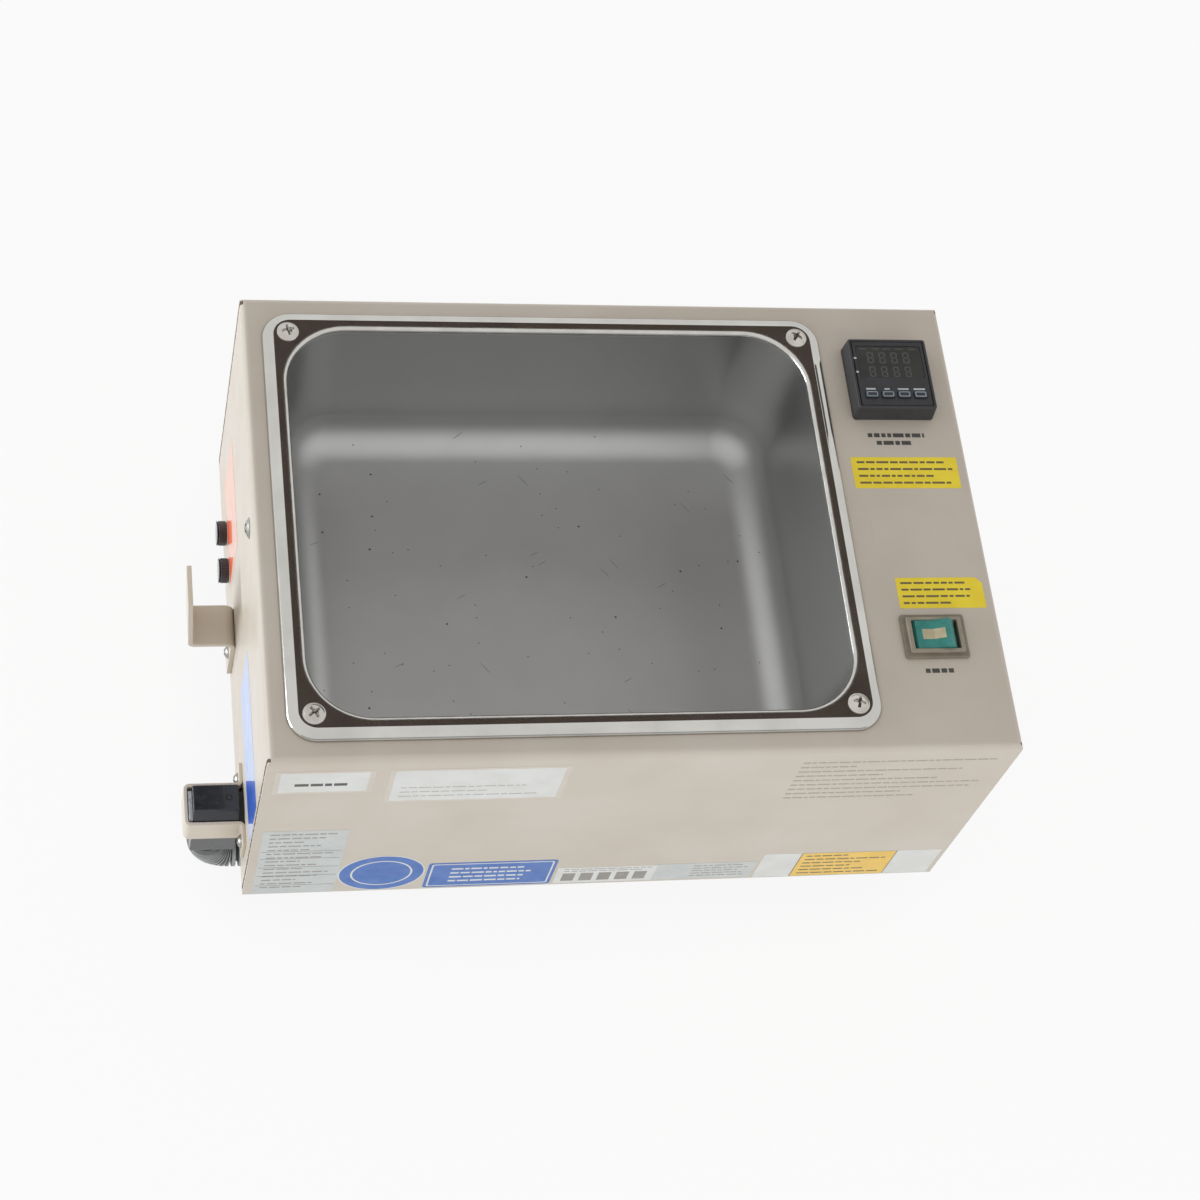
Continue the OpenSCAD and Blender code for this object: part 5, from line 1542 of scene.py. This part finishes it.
    def front(self):
        """Stickers along the front wall, and faint rows of bars at the upper right."""
        bm = bmesh.new()
        plates = (
            (-198, 137, -146, 164, "pale"), (-195, 139, -149, 162, "white", 1),
            (-138.6, 123, -43, 164, "pale"), (-135.6, 125, -46, 162, "white", 1),
            (-198, 1, -152, 88, "grey plate"), (-101.6, 2, -28, 37, "blue", 0, 2),
            (-99.8, 3.8, -29.8, 35.2, "white", 1, 1.5), (-98.8, 4.8, -30.8, 34.2, "blue", 2, 1.2),
            (-26, 2, 32, 24, "white"), (32, 2, 91, 25, "grey plate"), (93, 1, 200, 35, "white"),
            (115.4, 1.2, 172.9, 34.8, "black", 1, 0), (115.9, 1.4, 172.4, 34.6, "amber", 2, 0),
        )
        for plate in plates:
            self.plate(bm, *plate)
        for y in (12, 26, 38, 50, 60):
            self.plate(bm, -197, y, -153, y + 0.35, "black", 1, 0)
        for i in range(5):
            self.plate(bm, -22 + i * 10.5, 5, -14.6 + i * 10.5, 16, "grey", 1, 0)
        rings = ((24.5, "white"), (23.6, "blue"), (17.4, "white"), (16.3, "blue"))
        for level, (radius, ink) in enumerate(rings):
            self.disc(bm, -127.5, 25.5, radius, ink, level)
        rows = (
            (-187, 146, -159, 149.5, 1, "black", 2, (1.0,), 0.9),
            (-131, 128, -52, 144, 3, "grey", 2, (0.85, 0.6, 0.95), 0.12),
            (-194, 7, -156, 86, 15, "grey", 1, (0.95, 0.8, 0.5, 0.75, 0.6), 0.26),
            (-88, 8, -42, 31, 4, "white", 3, (0.9, 1, 0.95, 0.9), 0.34),
            (-22, 17.5, 29, 23, 2, "grey", 1, (1, 0.9), 0.3),
            (54, 5, 88, 23, 5, "grey", 1, (0.9, 1, 0.8), 0.26),
            (119, 3, 169, 33, 6, "ink", 3, (0.5, 1, 0.7, 0.6, 0.8, 1), 0.3),
            (83, 112, 192, 163, 9, "faint", 0, (1, 0.3, 0.85, 0.45, 0.75, 1, 0.95, 0.6, 0.7), 0.2),
        )
        for row in rows:
            self.lines(bm, *row)
        inset = settings("warmer_case").front_set
        self.done(bm, on_front(CASE_MID.x, CASE_LOW.z, inset), "front_plates")

    def left(self):
        """Two long plates on the left wall, washed pale by painted glare, and in full colour only in
        painted reflections of the fuses and the connector next to them.
        """
        bm = bmesh.new()
        self.plate(bm, -106, 30, -36, 87, "glared_orange")
        # Painted reflections of the fuse caps: there the glare is kept off and the label shows its full
        # orange
        self.patch(bm, ((-80.7, 33.2), (-65.4, 59.9), (-52.3, 57), (-65.1, 31.5)), "orange", 1)
        self.patch(bm, ((-57.3, 31), (-41.5, 59.2), (-38.7, 33.7)), "orange", 1)
        self.plate(bm, 43, 58, 136, 108, "sky")
        # Painted reflection of the connector: there the glare is kept off and the label shows its full blue
        corner = ((98.8, 59.2), (120.5, 107.3), (135.8, 107.8), (135.6, 85.2), (124.8, 60.2))
        self.patch(bm, corner, "deep blue", 1)
        self.done(bm, on_left(0, CASE_LOW.z), "left_plates")


class MakeInside(bpy.types.Operator):
    """Finish the pieces inside the case, and make the blanket and the wires"""

    bl_idname = "warmer.inside"
    bl_label = "Inside"

    def execute(self, context):
        self.blanket()
        self.wires()
        # Zinc-coated steel: grey crystal patches a finger wide
        galvanised = metal("Galvanised steel", "a5a5a1", "8e8e8a", (0.36, 0.5))
        zinc = bpy.data.materials.get("Zinc-plated steel") or metal("Zinc-plated steel", "b3b1ab", "96948e")
        brass = metal("Brass", "c2a24e", "ab8c40", (0.22, 0.36))
        tinned = metal("Tinned copper", "c9c9c4", "b4b4ae", (0.26, 0.4))
        steel = metal("Drawn steel", "a9a9a9", "959595", (0.25, 0.4))
        black = moulded("Glass-filled nylon", "2b2b2e", "242427")
        cream = moulded("Cream nylon", "e0dccf", "d3cebf")
        ceramic = moulded("Glazed ceramic", "cfcabb", "c2bcab", (0.2, 0.3))
        silicone = surface("Silicone rubber", "b5562c", "a44b25", 6, (0.55, 0.7), 1.2, 0.08)
        rubber = surface("Sponge rubber", "343434", "2a2a2a", 3, (0.75, 0.9), 0.6, 0.05)
        board = surface("Solder mask", "2f6b3a", "285e32", 3, (0.25, 0.4), 0.4, 0.02)
        finishes = {
            "base_plate": galvanised, "foot_screws": zinc, "foot_nuts": zinc, "basin_nuts": zinc,
            "relay_screws": zinc, "basin_gasket": rubber, "heater_mat": silicone,
            "high_limit_thermostat": ceramic, "temperature_probe": steel, "solid_state_relay": black,
            "terminal_block": cream, "earth_stud": brass, "controller_board": board,
            "controller_clamp": black, "switch_terminals": tinned, "fuse_nuts": black,
            "mains_inlet": black, "inlet_pins": tinned, "plug_blades": brass, "earth_lug": brass,
        }
        for name, finish in finishes.items():
            slots = frame["nodes"][name].data.materials
            slots.clear()
            slots.append(finish)
        return {"FINISHED"}

    def blanket(self):
        """Felted wool tray round the basin, its edges rounded and its faces uneven."""
        low, high, middle = extent("insulation_blanket")
        corner = 43
        wide = high.x - low.x - 2 * corner
        deep = high.y - low.y - 2 * corner
        thick = 9
        pad = 18
        tall = high.z
        section = [(corner - thick, low.z + pad)] + [(corner - thick, tall - 3)]
        section += arc(corner - thick / 2, tall - 3, thick / 2 - 0.6, 180, 0, 6)
        section += [(corner - 0.6, tall - 3), (corner - 0.6, low.z + 6)]
        section += arc(corner - 6.6, low.z + 6, 6, 0, -90, 4)
        section += [(corner - thick - 20, low.z)]
        bm = swept(section, wide, deep, 8)
        for level in (low.z + pad, low.z):
            open_edges = [e for e in bm.edges if e.is_boundary]
            loop = [e for e in open_edges if all(abs(v.co.z - level) < 0.01 for v in e.verts)]
            bmesh.ops.edgeloop_fill(bm, edges=loop)
        shift(bm, (middle.x, middle.y, 0))
        # Needled wool felt: pale, matted, fibres about 2 mm apart drawn coarse enough to show
        felt = surface("Needled felt", "d6d0bf", "c8c1ae", 7, (0.85, 0.95), 2, 0.5, Sheen_Weight=0.4)
        made = piece(bm, "felt_tray", [felt], nodes=["insulation_blanket"])

    def wires(self):
        """Four wires of the loom, laid round each other."""
        level = span("wiring_loom")[0].z + 4
        route = ((40, -80), (70, -78), (133, -60), (183, -20), (253, 0), (313, 4), (353, 10))
        line = flowing([Vector((CASE_LOW.x + x, y, level)) for x, y in route], 10)
        up = Vector((0, 0, 1))
        lay = 70
        apart = 2.15
        wires = [[], [], [], []]
        run = 0
        for i, point in enumerate(line):
            ahead = line[min(i + 1, len(line) - 1)] - line[max(i - 1, 0)]
            side = ahead.cross(up).normalized()
            if i:
                run += (point - line[i - 1]).length
            for k, wire in enumerate(wires):
                angle = run / lay * math.tau + k * math.pi / 2
                wire.append(point + (side * math.cos(angle) + up * math.sin(angle)) * apart)
        # PVC insulated wire: dark, smooth, a little shiny
        sleeve = surface("PVC wire sleeve", "4a4a4a", "3d3d3d", 12, (0.35, 0.5), 0.5, 0.004)
        loom = tube("loom_wires", wires, 3, 3, sleeve)
        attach(loom, "root")
        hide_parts("wiring_loom")


class MakeStage(bpy.types.Operator):
    """Make the floor, the sky, the mirrored cards and the lamps"""

    bl_idname = "warmer.stage"
    bl_label = "Stage"

    def execute(self, context):
        s = settings("warmer_stage")
        scene = bpy.context.scene
        scene.view_settings.view_transform = "Standard"
        self.sky(s, scene)
        self.floor(s)
        self.card(s)
        self.lamp("key_lamp", (-5.0, 0.4, 0.55), (3.4, 0.9), s.key, s.key_tint, True)
        self.lamp("front_lamp", (0.5, -2.6, 0.6), (2.2, 1.0), s.fill, s.fill_tint, False)
        return {"FINISHED"}

    def background(self, tree):
        """One for rays of the camera and of mirrors and clear pieces, which see a white room."""
        path = node(tree, "LightPath")
        seen = node(tree, "Math", {0: path["Is Camera Ray"], 1: path["Is Glossy Ray"]}, operation="MAXIMUM")
        return node(
            tree, "Math", {0: seen[0], 1: path["Is Transmission Ray"]}, operation="MAXIMUM"
        )[0]

    def sky(self, s, scene):
        """White for the eye and for mirrors, a plain even light for the rest."""
        world = bpy.data.worlds.new("studio")
        scene.world = world
        world.use_nodes = True
        tree = world.node_tree
        level = node(tree, "MapRange", {"Value": self.background(tree), 3: s.sky, 4: 1.0})[0]
        tree.links.new(level, tree.nodes["Background"].inputs["Strength"])
        tree.nodes["Background"].inputs["Color"].default_value = (1, 1, 1, 1)

    def floor(self, s):
        """Pale floor that keeps the object's soft shadow."""
        mesh = bpy.data.meshes.new("floor")
        bm = bmesh.new()
        bmesh.ops.create_grid(bm, x_segments=1, y_segments=1, size=6)
        bm.to_mesh(mesh)
        bm.free()
        floor = shown("floor", mesh)
        made, tree = blank("Pale floor")
        end = tree.nodes["Material Output"]
        tree.nodes.remove(tree.nodes["Principled BSDF"])
        dull = node(tree, "BsdfDiffuse", {"Color": s.floor})[0]
        glow = node(tree, "Emission", {"Color": (1, 1, 1, 1), "Strength": 1.0})[0]
        share = node(tree, "Math", {0: self.background(tree), 1: 0.88}, operation="MULTIPLY")[0]
        mixed = node(tree, "MixShader", {0: share, 1: dull, 2: glow})[0]
        tree.links.new(mixed, end.inputs["Surface"])
        mesh.materials.append(made)

    def card(self, s):
        """A dark panel overhead and a grey one in front, which only the steel mirrors."""
        mesh = bpy.data.meshes.new("card")
        bm = bmesh.new()
        join(bm, block((-0.3, 0.4, 2.1), (1.3, 2.0, 2.11)))
        join(bm, block((-3.0, -3.01, 0.2), (3.0, -3.0, 1.7)), material=1)
        bm.to_mesh(mesh)
        bm.free()
        card = shown("card", mesh)
        card.visible_camera = False
        card.visible_diffuse = False
        card.visible_shadow = False
        for name, tone in (("Dark card", s.card), ("Grey card", s.grey_card)):
            made, tree = blank(name)
            glow = node(tree, "Emission", {"Color": tone, "Strength": 1.0})[0]
            tree.links.new(glow, tree.nodes["Material Output"].inputs["Surface"])
            mesh.materials.append(made)

    def lamp(self, name, place, spread, power, tint, mirrored):
        """A broad soft lamp, aimed at the object."""
        light = bpy.data.lights.new(name, "AREA")
        light.shape = "RECTANGLE"
        light.size, light.size_y = spread
        light.energy = power
        light.color = tint[:3]
        lamp = shown(name, light)
        lamp.location = place
        lamp.rotation_euler = (Vector((0, 0, 0.1)) - Vector(place)).to_track_quat("-Z", "Y").to_euler()
        lamp.visible_camera = False
        lamp.visible_glossy = mirrored


OPERATORS = (
    MakeCamera, MakeLead, MakeCase, MakeBasin, MakeController, MakeSwitch, MakeFuses, MakeBrackets,
    MakeConnector, MakePlates, MakeInside, MakeStage,
)


class WarmerPanel(bpy.types.Panel):
    """Lists the warmer's pieces in the sidebar"""

    bl_idname = "VIEW3D_PT_warmer"
    bl_label = "Solution warmer"
    bl_space_type = "VIEW_3D"
    bl_region_type = "UI"
    bl_category = "Warmer"

    def draw(self, context):
        """Shows the settings and a button for each piece."""
        for group in GROUPS:
            box = self.layout.box()
            for name in GROUPS[group].__annotations__:
                box.prop(getattr(context.scene, group), name)
        for operator in OPERATORS:
            self.layout.operator(operator.bl_idname)


def register():
    """Registers the settings, the operators and the panel."""
    for group, kind in GROUPS.items():
        bpy.utils.register_class(kind)
        setattr(bpy.types.Scene, group, PointerProperty(type=kind))
    for operator in OPERATORS:
        bpy.utils.register_class(operator)
    bpy.utils.register_class(WarmerPanel)


def unregister():
    """Takes the settings, the operators and the panel out again."""
    bpy.utils.unregister_class(WarmerPanel)
    for operator in reversed(OPERATORS):
        bpy.utils.unregister_class(operator)
    for group, kind in GROUPS.items():
        delattr(bpy.types.Scene, group)
        bpy.utils.unregister_class(kind)


def main():
    """Makes all the pieces in order."""
    register()
    for operator in OPERATORS:
        area, name = operator.bl_idname.split(".")
        getattr(getattr(bpy.ops, area), name)()


if __name__ == "__main__":
    main()
